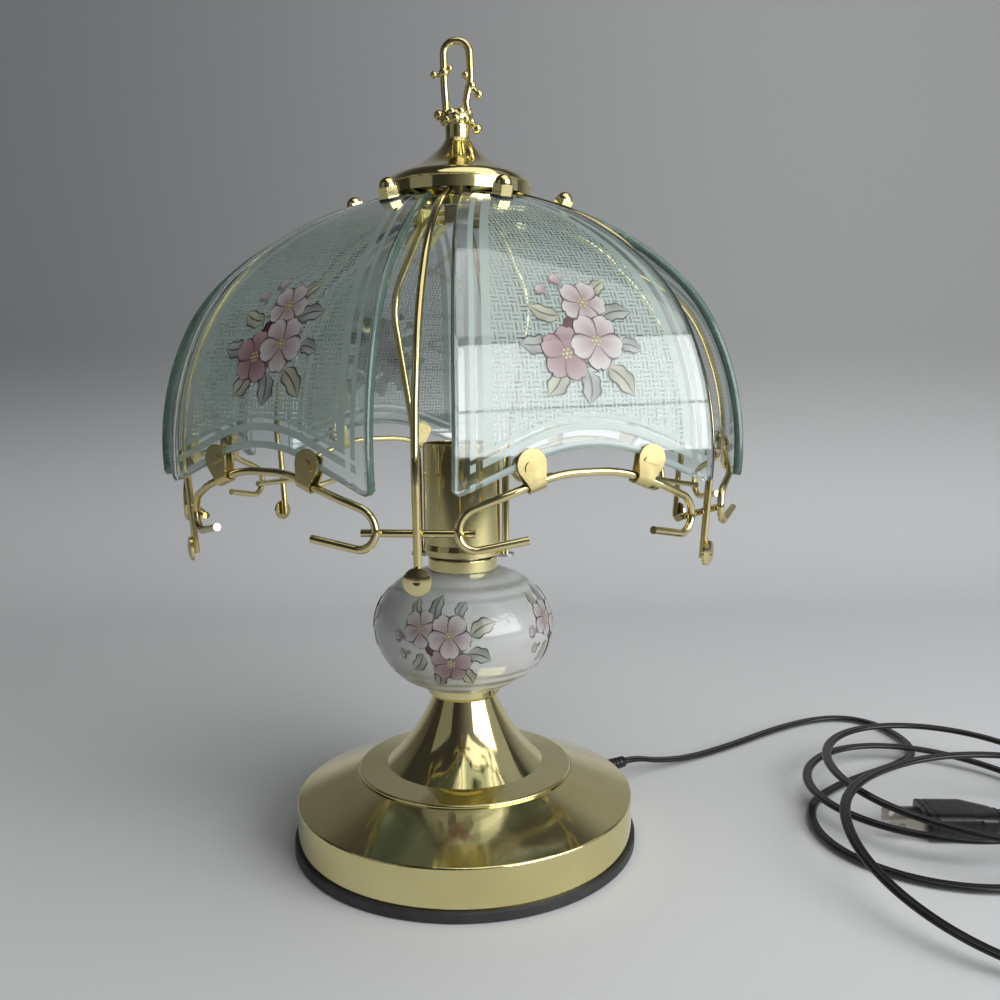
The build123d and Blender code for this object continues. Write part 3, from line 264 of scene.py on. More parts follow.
# camera, room and light
view = {"place": (54.7, -420.9, 206.6), "lens": 34.77, "sensor": 36, "clip": (0.01, 20),
        "turn": 7.4, "pitch": 7.011, "yaw": 2.260, "roll": -0.389}


def makeCamera():
    # fitted to the photograph: ahead by yaw and pitch, then the other two ways turned by the roll
    pitch, yaw, roll = (math.radians(view[k]) for k in ("pitch", "yaw", "roll"))
    flat = math.cos(pitch)
    ahead = spun([math.sin(yaw) * flat, math.cos(yaw) * flat, -math.sin(pitch)], view["turn"])
    across = spun([math.cos(yaw), -math.sin(yaw), 0.0], view["turn"])
    above = np.cross(across, ahead)
    rightWay = math.cos(roll) * across + math.sin(roll) * above
    upWay = -math.sin(roll) * across + math.cos(roll) * above
    eye = bpy.data.objects.new("eye", bpy.data.cameras.new("eye"))
    eye.data.lens, eye.data.sensor_width = view["lens"], view["sensor"]
    eye.data.clip_start, eye.data.clip_end = view["clip"]
    bpy.context.scene.collection.objects.link(eye)
    axes = Matrix(np.stack([rightWay, upWay, -ahead], -1).tolist()).to_4x4()
    eye.matrix_world = Matrix.Translation(Vector(view["place"]) * mm) @ axes
    bpy.context.scene.camera = eye
    bpy.context.scene.view_settings.view_transform = "Standard"


# room tones: floor and wall, plus painted shade that darkens the left wall, the wall high up and the floor behind the
# camera
room = {"front": -2500, "back": 420, "bend": 380, "height": 2200, "half": 3200, "bendRows": 25, "cols": 9,
        "floor": (0.80, 0.81, 0.82), "wall": (0.40, 0.402, 0.405), "shadedLeftWall": (0.27, 0.275, 0.285),
        "shadedUpperWall": (0.13, 0.13, 0.135), "shadedNearFloor": (0.18, 0.18, 0.185), "gloss": 0.75,
        # where one tone turns into the next, in metres
        "climb": (0.0, 0.27), "sides": (-0.55, 0.45), "upper": (0.75, 1.3), "near": (-0.95, -0.45)}


def makeRoom():
    # floor and wall in one sheet: straight, a quarter round, straight; carried across the room
    q = np.linspace(0, np.pi / 2, room["bendRows"])
    wallAt = room["back"] + room["bend"]
    y = np.concatenate([[room["front"]], room["back"] + room["bend"] * np.sin(q), [wallAt]])
    z = np.concatenate([[0], room["bend"] * (1 - np.cos(q)), [room["height"]]])
    x = np.linspace(-room["half"], room["half"], room["cols"])
    sheet = np.stack(np.broadcast_arrays(x[None], y[:, None], z[:, None]), -1).reshape(-1, 3)
    material, flow = newFinish("roomPaper")
    place = objectPlace(flow).parts()
    # painted shade: the wall darker on the left and darker high up, and the floor behind the camera dark
    wall = place[0].rise(*room["sides"]).blend(room["shadedLeftWall"], room["wall"])
    tone = place[2].rise(*room["climb"]).blend(room["floor"], wall)
    tone = place[2].rise(*room["upper"]).blend(tone, room["shadedUpperWall"])
    tone = place[1].rise(*room["near"]).blend(room["shadedNearFloor"], tone)
    closeFinish(flow, principled(flow, {"Base Color": tone, "Roughness": room["gloss"]}))
    mesh = bpy.data.meshes.new("room")
    mesh.from_pydata((sheet * mm).tolist(), [], gridFaces(len(y), len(x)).tolist())
    mesh.materials.append(material)
    mesh.polygons.foreach_set("use_smooth", np.ones(len(mesh.polygons), bool))
    piece = bpy.data.objects.new("room", mesh)
    bpy.context.scene.collection.objects.link(piece)
    piece.rotation_euler.z = math.radians(view["turn"])


# places in millimetres, window sizes in metres
lamps = {
    "lowSash": {"place": (900, -560, 282), "aim": (0, 0, 282), "wide": 1.0, "high": 0.285,
                "watts": 3.5, "colour": (0.97, 0.99, 1.0)},
    "highSash": {"place": (900, -560, 701), "aim": (0, 0, 701), "wide": 1.0, "high": 0.517,
                 "watts": 6.4, "colour": (0.97, 0.99, 1.0)},
    "overhead": {"place": (350, -350, 1300), "aim": (0, 0, 150), "wide": 1.2, "high": 1.2,
                 "watts": 5.4, "colour": (1.0, 0.99, 0.97)},
    "leftFill": {"place": (-900, -700, 500), "aim": (0, 0, 180), "wide": 0.8, "high": 0.8,
                 "watts": 0.35, "colour": (1.0, 1.0, 1.0)},
}


def makeLamps():
    for name, s in lamps.items():
        light = bpy.data.lights.new(name, "AREA")
        light.shape, light.size, light.size_y = "RECTANGLE", s["wide"], s["high"]
        light.energy, light.color = s["watts"], s["colour"]
        lamp = bpy.data.objects.new(name, light)
        bpy.context.scene.collection.objects.link(lamp)
        lamp.location = Vector(s["place"]) * mm
        lamp.rotation_euler = (Vector(s["aim"]) - Vector(s["place"])).to_track_quat("-Z", "Y").to_euler()


surround = {"dim": (0.045, 0.045, 0.048), "pale": (0.46, 0.47, 0.48), "sides": (0.36, 0.95),
            "window": (1.0, 1.0, 1.0), "windowWay": (0.87, -0.5), "windowEdges": (0.80, 0.98), "strength": 0.8}


def makeWorld():
    # dim on the left, pale on the right, brightest towards the window
    world = bpy.data.worlds.new("roomLight")
    bpy.context.scene.world = world
    world.use_nodes = True
    world.node_tree.nodes.clear()
    flow = Flow(world.node_tree)
    way = flow.make("ShaderNodeTexCoord", None, None, "Generated").parts()
    tone = (way[0] * 0.5 + 0.5).rise(*surround["sides"]).blend(surround["dim"], surround["pale"])
    facing = way[0] * surround["windowWay"][0] + way[1] * surround["windowWay"][1]
    tone = facing.rise(*surround["windowEdges"]).blend(tone, surround["window"])
    back = flow.make("ShaderNodeBackground", None, {"Color": tone, "Strength": surround["strength"]})
    out = world.node_tree.nodes.new("ShaderNodeOutputWorld")
    world.node_tree.links.new(back.socket, out.inputs["Surface"])


makeCamera()
makeRoom()
makeLamps()
makeWorld()
print("camera, room and lamps set")

# cord
cordSizes = {"width": 4.6, "thick": 2.7, "groove": 0.35, "grooveWide": 0.16, "squared": 0.7, "sides": 20,
             "smooth": 8, "lift": 2.2, "startAngle": 130.0, "perTurn": 16,
             "turns": (  # turn, centre x, centre y, radius, lift
                 (0.0, 223.0, 12.0, 63.0, 0.0), (0.6, 225.0, 31.0, 62.5, 0.0), (1.0, 226.0, 42.0, 62.0, 6.4),
                 (2.0, 232.0, 54.0, 56.0, 14.8), (2.65, 232.0, 14.0, 62.0, 19.3), (3.05, 231.0, -26.0, 66.0, 20.3),
                 (3.4, 231.0, -34.0, 68.0, 1.8), (3.72, 231.0, -34.0, 66.0, 5.3))}
cordRoute = [(74.22, 63.39, 10.5), (80.30, 68.58, 10.5), (94, 79.2, 5.2), (112, 92, 2.2), (138, 113, 2.2),
             (163, 137, 2.2), (189, 156.5, 2.2), (210, 163, 2.2), (225.5, 154.5, 2.2), (234, 136, 2.2),
             (236, 116, 2.2), (230, 98, 2.2), (199.51, 74.53, 2.2), (185.72, 62.96, 2.2)]
tailRoute = [(286.57, 1.87, 7.5), (282.41, 9.31, 7.5), (275.43, 15.05, 6.86), (266.84, 17.87, 6.6),
             (250.15, 16.94, 6.6)]


def coilAt(turn):
    # centre, radius and lift blended between the rows by 3 q^2 - 2 q^3, then a turn about that centre
    rows = np.array(cordSizes["turns"])
    k = np.clip(np.searchsorted(rows[:, 0], turn) - 1, 0, len(rows) - 2)
    q = np.clip((turn - rows[k, 0]) / (rows[k + 1, 0] - rows[k, 0]), 0, 1)
    x, y, radius, lift = (rows[k, 1:] + (rows[k + 1, 1:] - rows[k, 1:]) * (3 * q**2 - 2 * q**3)[:, None]).T
    angle = math.radians(cordSizes["startAngle"]) + 2 * np.pi * turn
    return np.stack([x + radius * np.cos(angle), y + radius * np.sin(angle), cordSizes["lift"] + lift], -1)


def cordPath():
    # points of one spline through the route, the coil and the tail
    endTurn = cordSizes["turns"][-1][0]
    turn = np.linspace(0, endTurn, round(endTurn * cordSizes["perTurn"]) + 1)
    step = turn[1]
    # control points that make the quadratic spline pass through the coil: p less an eighth of the second difference
    coil = coilAt(turn)
    coil[1:-1] -= (coilAt(turn + step) - 2 * coilAt(turn) + coilAt(turn - step))[1:-1] / 8
    route = np.concatenate([cordRoute, coil, tailRoute])
    curve = bpy.data.curves.new("cordRoute", "CURVE")
    curve.dimensions = "3D"
    spline = curve.splines.new("NURBS")
    spline.points.add(len(route) - 1)
    spline.points.foreach_set("co", np.concatenate([route * mm, np.ones((len(route), 1))], 1).ravel())
    spline.order_u = 3
    spline.use_endpoint_u = True
    spline.resolution_u = cordSizes["smooth"]
    holder = bpy.data.objects.new("cordRoute", curve)
    bpy.context.scene.collection.objects.link(holder)
    bpy.context.view_layer.update()
    line = bpy.data.meshes.new_from_object(holder.evaluated_get(bpy.context.evaluated_depsgraph_get()))
    path = np.empty(len(line.vertices) * 3)
    line.vertices.foreach_get("co", path)
    bpy.data.objects.remove(holder)
    return path.reshape(-1, 3) / mm


def makeCord():
    # two cores side by side with a groove between: (wide cos a, tall sin a), squared, thinned at the middle
    c = cordSizes
    path = cordPath()
    a = np.linspace(0, 2 * np.pi, c["sides"], endpoint=False)
    wide = c["width"] / 2 * np.cos(a)
    tall = c["thick"] / 2 * np.sign(np.sin(a)) * np.abs(np.sin(a)) ** c["squared"]
    tall *= 1 - c["groove"] * np.exp(-((wide / (c["grooveWide"] * c["width"])) ** 2))
    ref = np.cross(np.gradient(path, axis=0), [0, 0, 1.0])
    grid = sweptGrid(path, np.stack([wide, tall], -1), ref)
    faces = tubeFaces(*grid.shape[:2])
    cord = addPiece("mainsCord", grid.reshape(-1, 3), faces, "lamp", [darkPlastic])
    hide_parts("power_cord", "cord_coil", "cord_tail")
    makePlug()


# each groove is (depth as a share of the size, half width)
plug = {"at": (250.147, 16.941, 6.6), "way": (-0.998457, -0.055522, 0), "stations": (0, 12, 22.5, 42),
        "wide": (3.4, 8.6, 11.5, 11.5), "tall": (3.4, 5.2, 6.5, 6.5), "power": (2, 3, 4.5, 4.5),
        "rings": (2.2, 4.6, 7.0, 9.4), "ringGroove": (0.09, 0.55), "seam": 39.4, "seamGroove": (0.054, 0.4),
        "field": (19, 36.5), "fieldHigh": 0.66, "fieldDeep": 0.063, "rows": 127, "cols": 144}
relief = {"at": (0, 0, 10.5), "turn": 40.5, "stations": (70.65, 75.58, 75.62, 77.1, 77.58, 77.62, 97.58),
          "radius": (4.05, 4.05, 5.4, 5.4, 5.0, 3.8, 2.8), "grooves": np.arange(81.0, 96.0, 2.6),
          "groove": (0.13, 0.5), "rows": 90, "cols": 48, "power": np.array([[2.0]])}


def dips(t, places, groove):
    depth, width = groove
    return depth * sum(np.exp(-(((t - place) / width) ** 2)) for place in places)


def sleeve(name, at, way, t, wide, tall, power, replaced):
    # body along an axis: p = at + t way + wide c side + tall s up, with c, s signed powers of cos q and sin q
    rows, cols = wide.shape
    q = np.linspace(0, 2 * np.pi, cols, endpoint=False)
    c, s = (np.sign(f) * np.abs(f) ** (2 / power) for f in (np.cos(q), np.sin(q)))
    up = np.array([0, 0, 1.0])
    side = np.cross(up, way)
    grid = np.asarray(at) + t[..., None] * np.asarray(way) + (wide * c)[..., None] * side + (tall * s)[..., None] * up
    piece = addPiece(name, grid.reshape(-1, 3), tubeFaces(rows, cols), "lamp", [darkPlastic])
    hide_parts(replaced)
    return piece


def makePlug():
    # rings round the neck, a seam before the blade plate, a sunk field on each side
    t = np.linspace(0, plug["stations"][-1], plug["rows"])[:, None]
    wide, tall, power = (np.interp(t, plug["stations"], plug[k]) for k in ("wide", "tall", "power"))
    ring = 1 - dips(t, plug["rings"], plug["ringGroove"]) - dips(t, [plug["seam"]], plug["seamGroove"])
    q = np.linspace(0, 2 * np.pi, plug["cols"], endpoint=False)
    low, high = plug["field"]
    sunk = (t > low) * (t < high) * (np.abs(np.sin(q)) ** (2 / power) < plug["fieldHigh"])
    return sleeve("plugMoulding", plug["at"], plug["way"], t, wide * ring * (1 - plug["fieldDeep"] * sunk),
                  np.broadcast_to(tall * ring, sunk.shape), power, "plug_body")


def makeRelief():
    # stepped flange and a tapered nose with grooves round it
    stations = relief["stations"]
    t = np.unique(np.concatenate([stations, np.linspace(*stations[-2:], relief["rows"])]))[:, None]
    radius = np.interp(t, stations, relief["radius"]) * (1 - dips(t, relief["grooves"], relief["groove"]))
    radius = np.broadcast_to(radius, (len(t), relief["cols"]))
    turn = math.radians(relief["turn"])
    way = (math.cos(turn), math.sin(turn), 0)
    sleeve("strainRelief", relief["at"], way, t, radius, radius, relief["power"], "cord_bushing")


makeCord()
makeRelief()
print("cord, plug and strain relief made")

# glass panels; each arc is (radius, turn)
glass = {"thick": 3.2, "topR": 30.2, "topZ": 281.57, "slope": 14.5,
         "arcs": ((130.0, 30.0), (72.0, 21.6), (112.0, 36.0)), "topHalf": 9.6, "midHalf": 39.0, "footHalf": 49.6,
         "archFoot": 169.57, "archPitch": 21.5, "archRound": 61.0, "corner": 3.0, "cornerShare": 0.8,
         "searchFrom": 60.0, "rows": 110, "cols": 65}
panelTurns = [-60 + 360 / panelCount * i for i in range(panelCount)]


def glassLine(s):
    # outer face by length s from the top edge, on three tangent arcs: (n, z) = centre + R (sin f, cos f)
    s = np.asarray(s, float)
    f0, start, last = math.radians(glass["slope"]), 0.0, 0.0
    middle = np.array([glass["topR"], glass["topZ"]])
    n, z, f = np.zeros_like(s), np.zeros_like(s), np.zeros_like(s)
    for radius, turn in glass["arcs"]:
        middle = middle + (last - radius) * np.array([math.sin(f0), math.cos(f0)])
        here = s >= start
        slope = f0 + (s - start) / radius
        n = np.where(here, middle[0] + radius * np.sin(slope), n)
        z = np.where(here, middle[1] + radius * np.cos(slope), z)
        f = np.where(here, slope, f)
        start, f0, last = start + radius * math.radians(turn), f0 + math.radians(turn), radius
    return n, z, f


def archHeight(u):
    # lower edge: two slopes joined by a round crown
    pitch, bend = math.radians(glass["archPitch"]), glass["archRound"]
    slope = math.tan(pitch)
    crown = glass["archFoot"] + glass["footHalf"] * slope - bend / math.cos(pitch)
    flank = glass["archFoot"] + (glass["footHalf"] - np.abs(u)) * slope
    top = crown + np.sqrt(np.maximum(bend**2 - u**2, 0))
    return np.where(np.abs(u) > bend * math.sin(pitch), flank, top)


def bisect(test, low, high, rounds=45):
    # place between low and high where test turns from true to false
    for _ in range(rounds):
        mid = (low + high) / 2
        low, high = np.where(test(mid), mid, low), np.where(test(mid), high, mid)
    return low


crownLength = glass["arcs"][0][0] * math.radians(glass["arcs"][0][1])
glassLength = sum(r * math.radians(t) for r, t in glass["arcs"])
footLength = float(bisect(lambda s: glassLine(s)[1] > glass["archFoot"],
                          np.array(glass["searchFrom"]), np.array(glassLength)))


def slant(s):
    n, z, _ = glassLine(s)
    return (z - n) / math.sqrt(2)


sideArc = [(glass["topHalf"], float(slant(0.0))), (glass["midHalf"], float(slant(crownLength))),
           (glass["footHalf"], float(slant(footLength)))]


def halfWidth(s):
    # side edge: a circle through three half widths, seen along the panel's diagonal
    (ax, ay), (bx, by), (cx, cy) = sideArc
    d = 2 * (ax * (by - cy) + bx * (cy - ay) + cx * (ay - by))
    a2, b2, c2 = ax**2 + ay**2, bx**2 + by**2, cx**2 + cy**2
    px = (a2 * (by - cy) + b2 * (cy - ay) + c2 * (ay - by)) / d
    py = (a2 * (cx - bx) + b2 * (ax - cx) + c2 * (bx - ax)) / d
    return px + np.sqrt((ax - px) ** 2 + (ay - py) ** 2 - (slant(np.minimum(s, footLength)) - py) ** 2)


def onGlass(u, s, lift=0.0):
    # point of a panel that faces +X, at u across and s down, lifted off the outer face
    n, z, f = glassLine(s)
    return np.stack(np.broadcast_arrays(n + lift * np.sin(f), u, z + lift * np.cos(f)), -1)


# stripes and the woven field by distance from the side edges and from the arch
frosting = {"sideStripes": ((5.0, 7.0), (9.4, 12.8)), "footGaps": ((2.2, 5.6), (8.0, 9.4)), "soft": 0.15,
            "fieldSide": (12.7, 12.9), "fieldFoot": (10.4, 10.6), "cell": 3.3, "cellShift": 40.5,
            "dashAt": 0.24, "dashHalf": 0.10, "dashReach": 0.44, "cloud": (45.0, 3.0), "cloudGloss": (0.34, 0.08),
            "milk": ((0.44, 0.545, 0.505), (0.50, 0.605, 0.56)), "clear": (0.88, 0.96, 0.945, 1)}
edge = {"drift": (120.0, 4.0), "tones": ((0.14, 0.25, 0.20), (0.20, 0.33, 0.275)), "gloss": (0.12, 0.12)}


def glassFinish():
    # frosted face with clear stripes along the sides and the arch, and a clear basket weave between
    material, flow = newFinish("frostedWeave")
    u, s, _ = flow.make("ShaderNodeAttribute", {"attribute_name": "weave"}, None, "Vector").parts()
    side, foot, outer = flow.make("ShaderNodeAttribute", {"attribute_name": "rim"}, None, "Vector").parts()

    def stripe(value, low, high):
        soft = frosting["soft"]
        return value.rise(low - soft, low + soft) * (1 - value.rise(high - soft, high + soft))

    # weave: every second cell has its pair of dashes turned
    cellU, cellS = u / frosting["cell"] + frosting["cellShift"], s / frosting["cell"]
    turnedCell = (cellU.floor() + cellS.floor()).modulo(2.0) > 0.5
    along = turnedCell * cellU.fract() + (1 - turnedCell) * cellS.fract()
    across = turnedCell * cellS.fract() + (1 - turnedCell) * cellU.fract()
    dash = ((across - 0.5).size() - frosting["dashAt"]).size() < frosting["dashHalf"]
    dash = dash * ((along - 0.5).size() < frosting["dashReach"])
    inner = side.rise(*frosting["fieldSide"])
    frost = inner
    for low, high in frosting["sideStripes"]:
        frost = frost + stripe(side, low, high)
    for low, high in frosting["footGaps"]:
        frost = frost * (1 - stripe(foot, low, high))
    frost = frost * (1 - inner * foot.rise(*frosting["fieldFoot"]) * dash) * (outer > 0.5)
    cloud = drifting(flow, *frosting["cloud"])
    gloss, uneven = frosting["cloudGloss"]
    clear = principled(flow, {
        "Base Color": frosting["clear"], "Roughness": 0.02, "IOR": 1.5, "Transmission Weight": 1.0,
        "Coat Weight": 0.7, "Coat Roughness": 0.04, "Coat IOR": 1.60})
    milky = principled(flow, {
        "Base Color": cloud.blend(*frosting["milk"]), "Roughness": cloud * uneven + gloss, "IOR": 1.4,
        "Transmission Weight": 0.40, "Coat Weight": 1.0, "Coat Roughness": 0.04, "Coat IOR": 1.60})
    closeFinish(flow, flow.make("ShaderNodeMixShader", None, {0: frost, 1: clear, 2: milky}))
    return material


def edgeFinish():
    # ground edge: deep sea green, a little uneven
    material, flow = newFinish("groundEdge")
    drift = drifting(flow, *edge["drift"])
    gloss, uneven = edge["gloss"]
    closeFinish(flow, principled(flow, {
        "Base Color": drift.blend(*edge["tones"]), "Roughness": drift * uneven + gloss, "IOR": 1.5,
        "Transmission Weight": 0.6, "Coat Weight": 0.5}))
    return material


def makeGlass():
    # sheet: u = a w(s), s = b foot(a), a from -1 to 1, b from 0 to 1, both faces and a strip round the edge
    rows, cols, corner = glass["rows"], glass["cols"], glass["corner"]
    a = np.linspace(-1, 1, cols)
    low = bisect(lambda s: glassLine(s)[1] > archHeight(a * halfWidth(s)),
                 np.full(cols, glass["searchFrom"]), np.full(cols, glassLength))
    inset = np.clip(((np.abs(a) - 1) * glass["footHalf"] + corner) / corner, 0, 1)
    low = low - corner * (1 - np.sqrt(1 - inset**2)) * glass["cornerShare"]
    s = np.linspace(0, 1, rows)[:, None] * low[None]
    w = halfWidth(s)
    u = a[None] * w
    front, back = onGlass(u, s), onGlass(u, s, -glass["thick"])
    faces = [gridFaces(rows, cols), gridFaces(rows, cols, start=rows * cols)[:, ::-1]]
    index = np.arange(rows * cols).reshape(rows, cols)
    loop = np.concatenate([index[0, :-1], index[:-1, -1], index[-1, :0:-1], index[:0:-1, 0]])
    after = np.roll(loop, -1)
    faces.append(np.stack([loop, after, after + rows * cols, loop + rows * cols], -1))
    # the two faces take the first material, the strip the second
    kind = np.concatenate([np.full(len(f), i // 2) for i, f in enumerate(faces)])
    faces = np.concatenate(faces)
    weave = np.stack([u, s, np.zeros_like(u)], -1).reshape(-1, 3)
    foot = (front[..., 2] - archHeight(u)) * math.cos(math.radians(glass["archPitch"]))
    rim = np.stack([w - np.abs(u), foot, np.ones_like(u)], -1).reshape(-1, 3)
    points = np.concatenate([front.reshape(-1, 3), back.reshape(-1, 3)])
    materials = [glassFinish(), edgeFinish()]
    for i, turn in enumerate(panelTurns, 1):
        piece = addPiece(f"bentPanel{i}", spun(points, turn), faces, "shade", materials, kind)
        pointAttribute(piece, "weave", np.concatenate([weave, weave]))
        pointAttribute(piece, "rim", np.concatenate([rim, rim * [1, 1, 0]]))
        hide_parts(f"glass_panel_{i}")


makeGlass()
print("glass panels made")

# flower sprays
spray = {
    "blossoms": (  # x, y, radius, turn, tone
        (3.0, 11.5, 9.4, -8, 0), (-7.0, -7.5, 10.2, 10, 1), (5.0, -3.0, 10.8, 55, 0)),
    "leaves": (  # x, y, length, half width, turn, tone
        (9, 6, 13, 3.6, 10, 0), (-7, 6, 12, 3.4, 160, 1), (-13, -3, 11, 3.6, 185, 0), (-9, -12, 12, 4.0, 235, 1),
        (0, -13, 12, 4.0, 268, 0), (8, -12, 14, 4.0, 312, 1), (14, -4, 9, 3.0, 345, 0), (8, 15, 9, 2.8, 42, 1)),
    "buds": ((-4.0, 19.0, 4.6, 112), (-10.5, 15.0, 4.0, 135)),  # x, y, radius, turn
    "budLeans": (-24, 22, 0), "budLeaf": (0.8, 0.22, 150),  # length and half width by radius, turn
    "heart": (-0.5, 1.0, 6.5), "antherRing": 1.5, "antherSize": 0.62, "pistilSize": 0.75,
    "tones": (((0.40, 0.29, 0.30), (0.55, 0.545, 0.52)), ((0.27, 0.10, 0.12), (0.42, 0.28, 0.29))),
    "greens": (((0.11, 0.14, 0.12), (0.40, 0.45, 0.40)), ((0.20, 0.22, 0.13), (0.50, 0.53, 0.34))),
    "outline": (0.10, 0.025, 0.04), "vein": (0.03, 0.045, 0.04), "throat": (0.16, 0.015, 0.03),
    "anther": (0.62, 0.50, 0.12), "pistil": (0.55, 0.58, 0.20),
    "greyed": (0.36, 0.34, 0.34), "fade": 0.35, "aboveFoot": 54.0, "gloss": 0.35}
# height of each layer off the face, so that none lies in another
layers = {"leaf": 0.08, "leafStep": 0.012, "heart": 0.19, "bud": 0.20, "budStep": 0.01, "budLeaf": 0.24,
          "blossom": 0.26, "blossomStep": 0.08, "throat": -0.01, "petalStep": 0.008, "anther": 0.05, "pistil": 0.056}
petal = {"t": (0, 0.12, 0.3, 0.5, 0.68, 0.82, 0.90, 0.94, 0.98, 1.0),
         "v": (-1, -0.92, -0.82, -0.6, -0.33, 0, 0.33, 0.6, 0.82, 0.92, 1.0),
         "half": 0.46, "notch": 0.10, "notchWide": 0.28, "round": 0.10, "lines": 16, "lineShare": 0.55}
leaf = {"rows": 13, "v": (-1, -0.9, -0.76, -0.4, -0.12, -0.04, 0.04, 0.12, 0.4, 0.76, 0.9, 1.0),
        "taper": 0.85, "wave": 0.15, "waves": 14, "bend": 0.10, "rim": 0.85, "vein": 0.05}


def patch(x, y, turn, at, colour, layer):
    # flat patch at a place and turn, with colours and its layer
    c, s = math.cos(math.radians(turn)), math.sin(math.radians(turn))
    points = np.stack([at[0] + c * x - s * y, at[1] + s * x + c * y, np.full_like(x, layer)], -1)
    return points.reshape(-1, 3), gridFaces(*x.shape), colour.reshape(-1, 3)


def mixed(first, second, share):
    return np.asarray(first) + (np.asarray(second) - np.asarray(first)) * share[..., None]


def petalPatch(at, radius, turn, tone, layer):
    # petal: x = R t less a notch, y = v half(t), half widest near three quarters
    t, v = np.meshgrid(petal["t"], petal["v"], indexing="ij")
    half = petal["half"] * radius * np.sin(np.pi * t**1.25 * 0.86 + 0.08) ** 0.8
    notch = petal["notch"] * t**5 * np.exp(-((v / petal["notchWide"]) ** 2))
    x = radius * (t - notch - petal["round"] * t**2 * v**2)
    colour = mixed(*spray["tones"][tone], np.clip(t * 1.25 - 0.1, 0, 1))
    lines = 0.5 + 0.5 * np.cos(v * petal["lines"])
    colour = mixed(colour, spray["tones"][1][0], petal["lineShare"] * lines * (1 - t))
    rim = ((np.abs(v) > 0.9) | (t > 0.97)) & (t > 0.1)
    colour = np.where(rim[..., None], spray["outline"], colour)
    return patch(x, v * half, turn, at, colour, layer)


def leafPatch(at, length, half, turn, tone, layer):
    # leaf: pointed, waved along the rim, bent aside by a sine, darker along vein and rim
    t, v = np.meshgrid(np.linspace(0, 1, leaf["rows"]), leaf["v"], indexing="ij")
    width = half * np.sin(np.pi * t ** leaf["taper"]) ** leaf["taper"] * (1 - leaf["wave"] * np.cos(leaf["waves"] * t))
    y = v * width + leaf["bend"] * length * np.sin(np.pi * t)
    colour = mixed(*spray["greens"][tone], np.clip(0.5 + 0.5 * v * np.cos(5 * t) + 0.3 * t, 0, 1))
    dark = (np.abs(v) > leaf["rim"]) | (np.abs(v) < leaf["vein"])
    colour = np.where(dark[..., None], spray["vein"], colour)
    return patch(length * t, y, turn, at, colour, layer)


def discPatch(at, radius, colour, layer, rows=3, cols=11):
    # round spot with a darker rim: (r cos q, r sin q)
    t, q = np.meshgrid(np.linspace(0, 1, rows), np.linspace(0, 2 * np.pi, cols), indexing="ij")
    tint = np.where((t > 0.9)[..., None], np.asarray(colour) * 0.35, np.asarray(colour))
    return patch(radius * t * np.cos(q), radius * t * np.sin(q), 0, at, tint, layer)


def blossomPatches(x, y, radius, turn, tone, base):
    # throat, five petals, six anthers in a ring, pistil
    parts = [discPatch((x, y), 0.5 * radius, spray["throat"], base + layers["throat"])]
    for k in range(5):
        parts.append(petalPatch((x, y), radius, turn + 72 * k, tone, base + layers["petalStep"] * (k * 2 % 5)))
    for k in range(6):
        around = math.radians(60 * k + turn)
        spot = (x + spray["antherRing"] * math.cos(around), y + spray["antherRing"] * math.sin(around))
        parts.append(discPatch(spot, spray["antherSize"], spray["anther"], base + layers["anther"]))
    parts.append(discPatch((x, y), spray["pistilSize"], spray["pistil"], base + layers["pistil"]))
    return parts


def sprayPatches():
    # points, faces and colours of a whole spray, lying flat
    parts = []
    for i, (x, y, length, half, turn, tone) in enumerate(spray["leaves"]):
        parts.append(leafPatch((x, y), length, half, turn, tone, layers["leaf"] + layers["leafStep"] * i))
    x, y, radius = spray["heart"]
    parts.append(discPatch((x, y), radius, spray["throat"], layers["heart"]))
    long, wide, back = spray["budLeaf"]
    for x, y, radius, turn in spray["buds"]:
        for k, lean in enumerate(spray["budLeans"]):
            parts.append(petalPatch((x, y), radius, turn + lean, k % 2, layers["bud"] + layers["budStep"] * k))
        parts.append(leafPatch((x, y), radius * long, radius * wide, turn + back, 0, layers["budLeaf"]))
    for i, blossom in enumerate(spray["blossoms"]):
        parts.extend(blossomPatches(*blossom, layers["blossom"] + layers["blossomStep"] * i))
    points, faces, colours = zip(*parts)
    starts = np.cumsum([0, *map(len, points[:-1])])
    return np.concatenate(points), np.concatenate([f + s for f, s in zip(faces, starts)]), np.concatenate(colours)


sprayPoints, sprayFaces, sprayInk = sprayPatches()
print("spray:", len(sprayFaces), "faces")


def fadedInk(share):
    # each ink drawn towards a grey of its own lightness, with full alpha
    grey = sprayInk.mean(1, keepdims=True) / np.mean(spray["greyed"]) * spray["greyed"]
    return np.concatenate([sprayInk + share * (grey - sprayInk), np.ones((len(sprayInk), 1))], 1)


screen = {"dots": (2600.0, 1.0), "dotEdges": (0.35, 0.75), "share": 0.25, "tint": (0.80, 0.72, 0.72), "coat": 0.4}


def printFinish(name, gloss):
    # fired-on print: its own colours with a fine dot screen
    material, flow = newFinish(name)
    colour = flow.make("ShaderNodeAttribute", {"attribute_name": "ink"}, None, "Color")
    dots = objectNoise(flow, *screen["dots"]).rise(*screen["dotEdges"])
    tint = (dots * screen["share"]).blend(colour, screen["tint"], "MULTIPLY")
    closeFinish(flow, principled(flow, {"Base Color": tint, "Roughness": gloss, "Coat Weight": screen["coat"]}))
    return material


def makeSprays(name, flat, turns, body, finish, ink):
    for i, turn in enumerate(turns, 1):
        piece = addPiece(f"{name}{i}", spun(flat, turn), sprayFaces, body, [finish], recalc=False)
        pointAttribute(piece, "ink", ink)


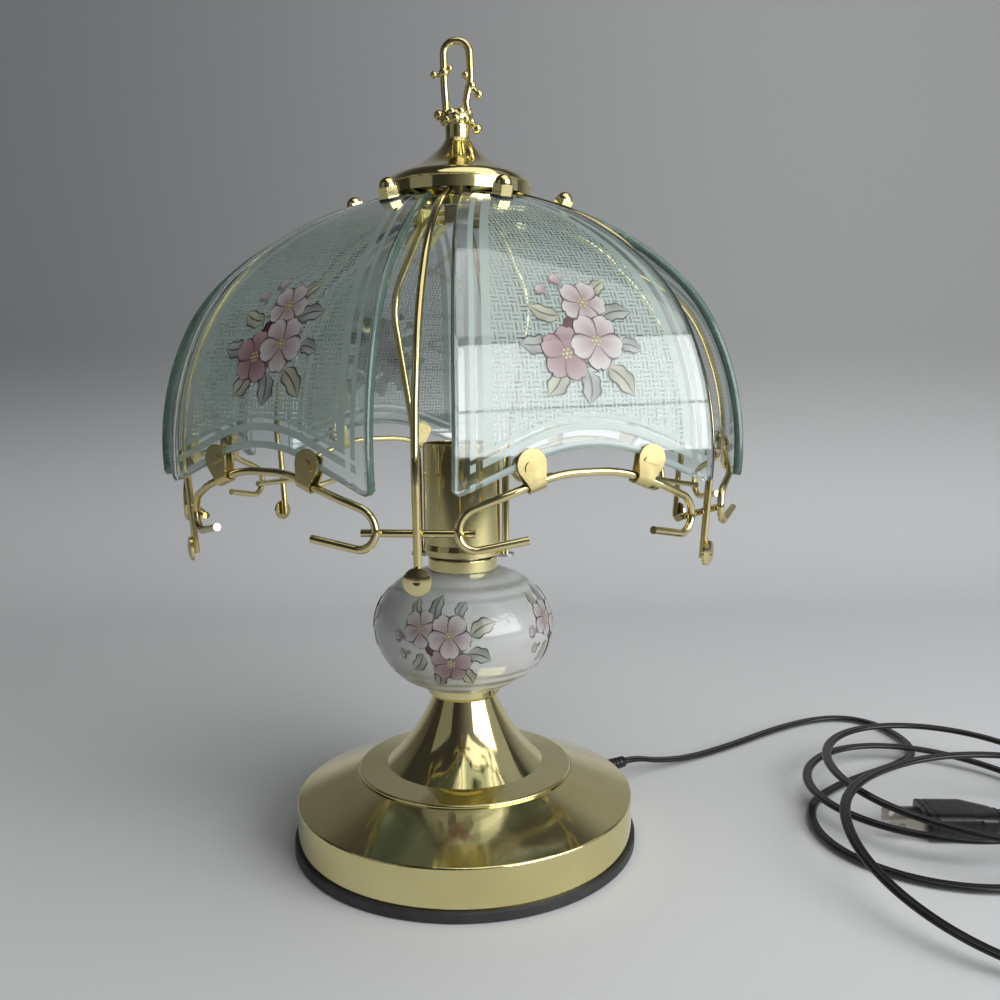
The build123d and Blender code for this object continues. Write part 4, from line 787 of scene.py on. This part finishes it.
def makePanelSprays():
    x, y, lift = sprayPoints.T
    flat = onGlass(x, footLength - spray["aboveFoot"] - y, lift)
    finish = printFinish("glassPrint", spray["gloss"])
    makeSprays("glassSpray", flat, panelTurns, "shade", finish, fadedInk(spray["fade"]))


ball = {"core": 10.0, "span": 29.8, "low": 28.8, "high": 25.0, "mid": 99.605, "sprays": (-97, -7, 83, 173),
        "scale": 0.92, "turn": 72, "fade": 0.5, "printGloss": 0.2,
        "glaze": ((0.58, 0.595, 0.56), (0.53, 0.53, 0.53)), "drift": (28.0, 2.0), "gloss": (0.16, 0.06),
        # thrown rings in metres: pitch, where they begin above and below the middle, strength and depth
        "ringPitch": 0.0042, "ringEdges": (0.013, 0.019), "ringBump": (0.6, 0.0008)}


def onBall(across, up, lift):
    # ellipse of revolution: r = core + span cos p, z = mid + h sin p, h by half
    tall = np.where(up > 0, ball["high"], ball["low"])
    p = up / tall
    r = ball["core"] + (ball["span"] + lift) * np.cos(p)
    turn = across / (ball["core"] + ball["span"])
    return np.stack([r * np.cos(turn), r * np.sin(turn), ball["mid"] + (tall + lift) * np.sin(p)], -1)


def makeBallSprays():
    x, y, _ = (spun(sprayPoints, ball["turn"]) * ball["scale"]).T
    flat = onBall(x, y, sprayPoints[:, 2])
    finish = printFinish("glazePrint", ball["printGloss"])
    makeSprays("ballSpray", flat, ball["sprays"], "lamp", finish, fadedInk(ball["fade"]))


def glazeFinish():
    # pale lustre glaze, thrown rings near the top and the foot
    material, flow = newFinish("pearlGlaze")
    z = objectPlace(flow).parts()[2]
    rings = (z * (2 * math.pi / ball["ringPitch"])).sine()
    where = (z - ball["mid"] * mm).size().rise(*ball["ringEdges"])
    drift = drifting(flow, *ball["drift"])
    gloss, uneven = ball["gloss"]
    closeFinish(flow, principled(flow, {
        "Base Color": drift.blend(*ball["glaze"]), "Roughness": drift * uneven + gloss,
        "Coat Weight": 0.8, "Coat Roughness": 0.05, "Normal": bump(flow, rings * where, *ball["ringBump"])}))
    return material


makePanelSprays()
makeBallSprays()
setFinish("ceramic_ball", glazeFinish())
print("sprays and glaze made")
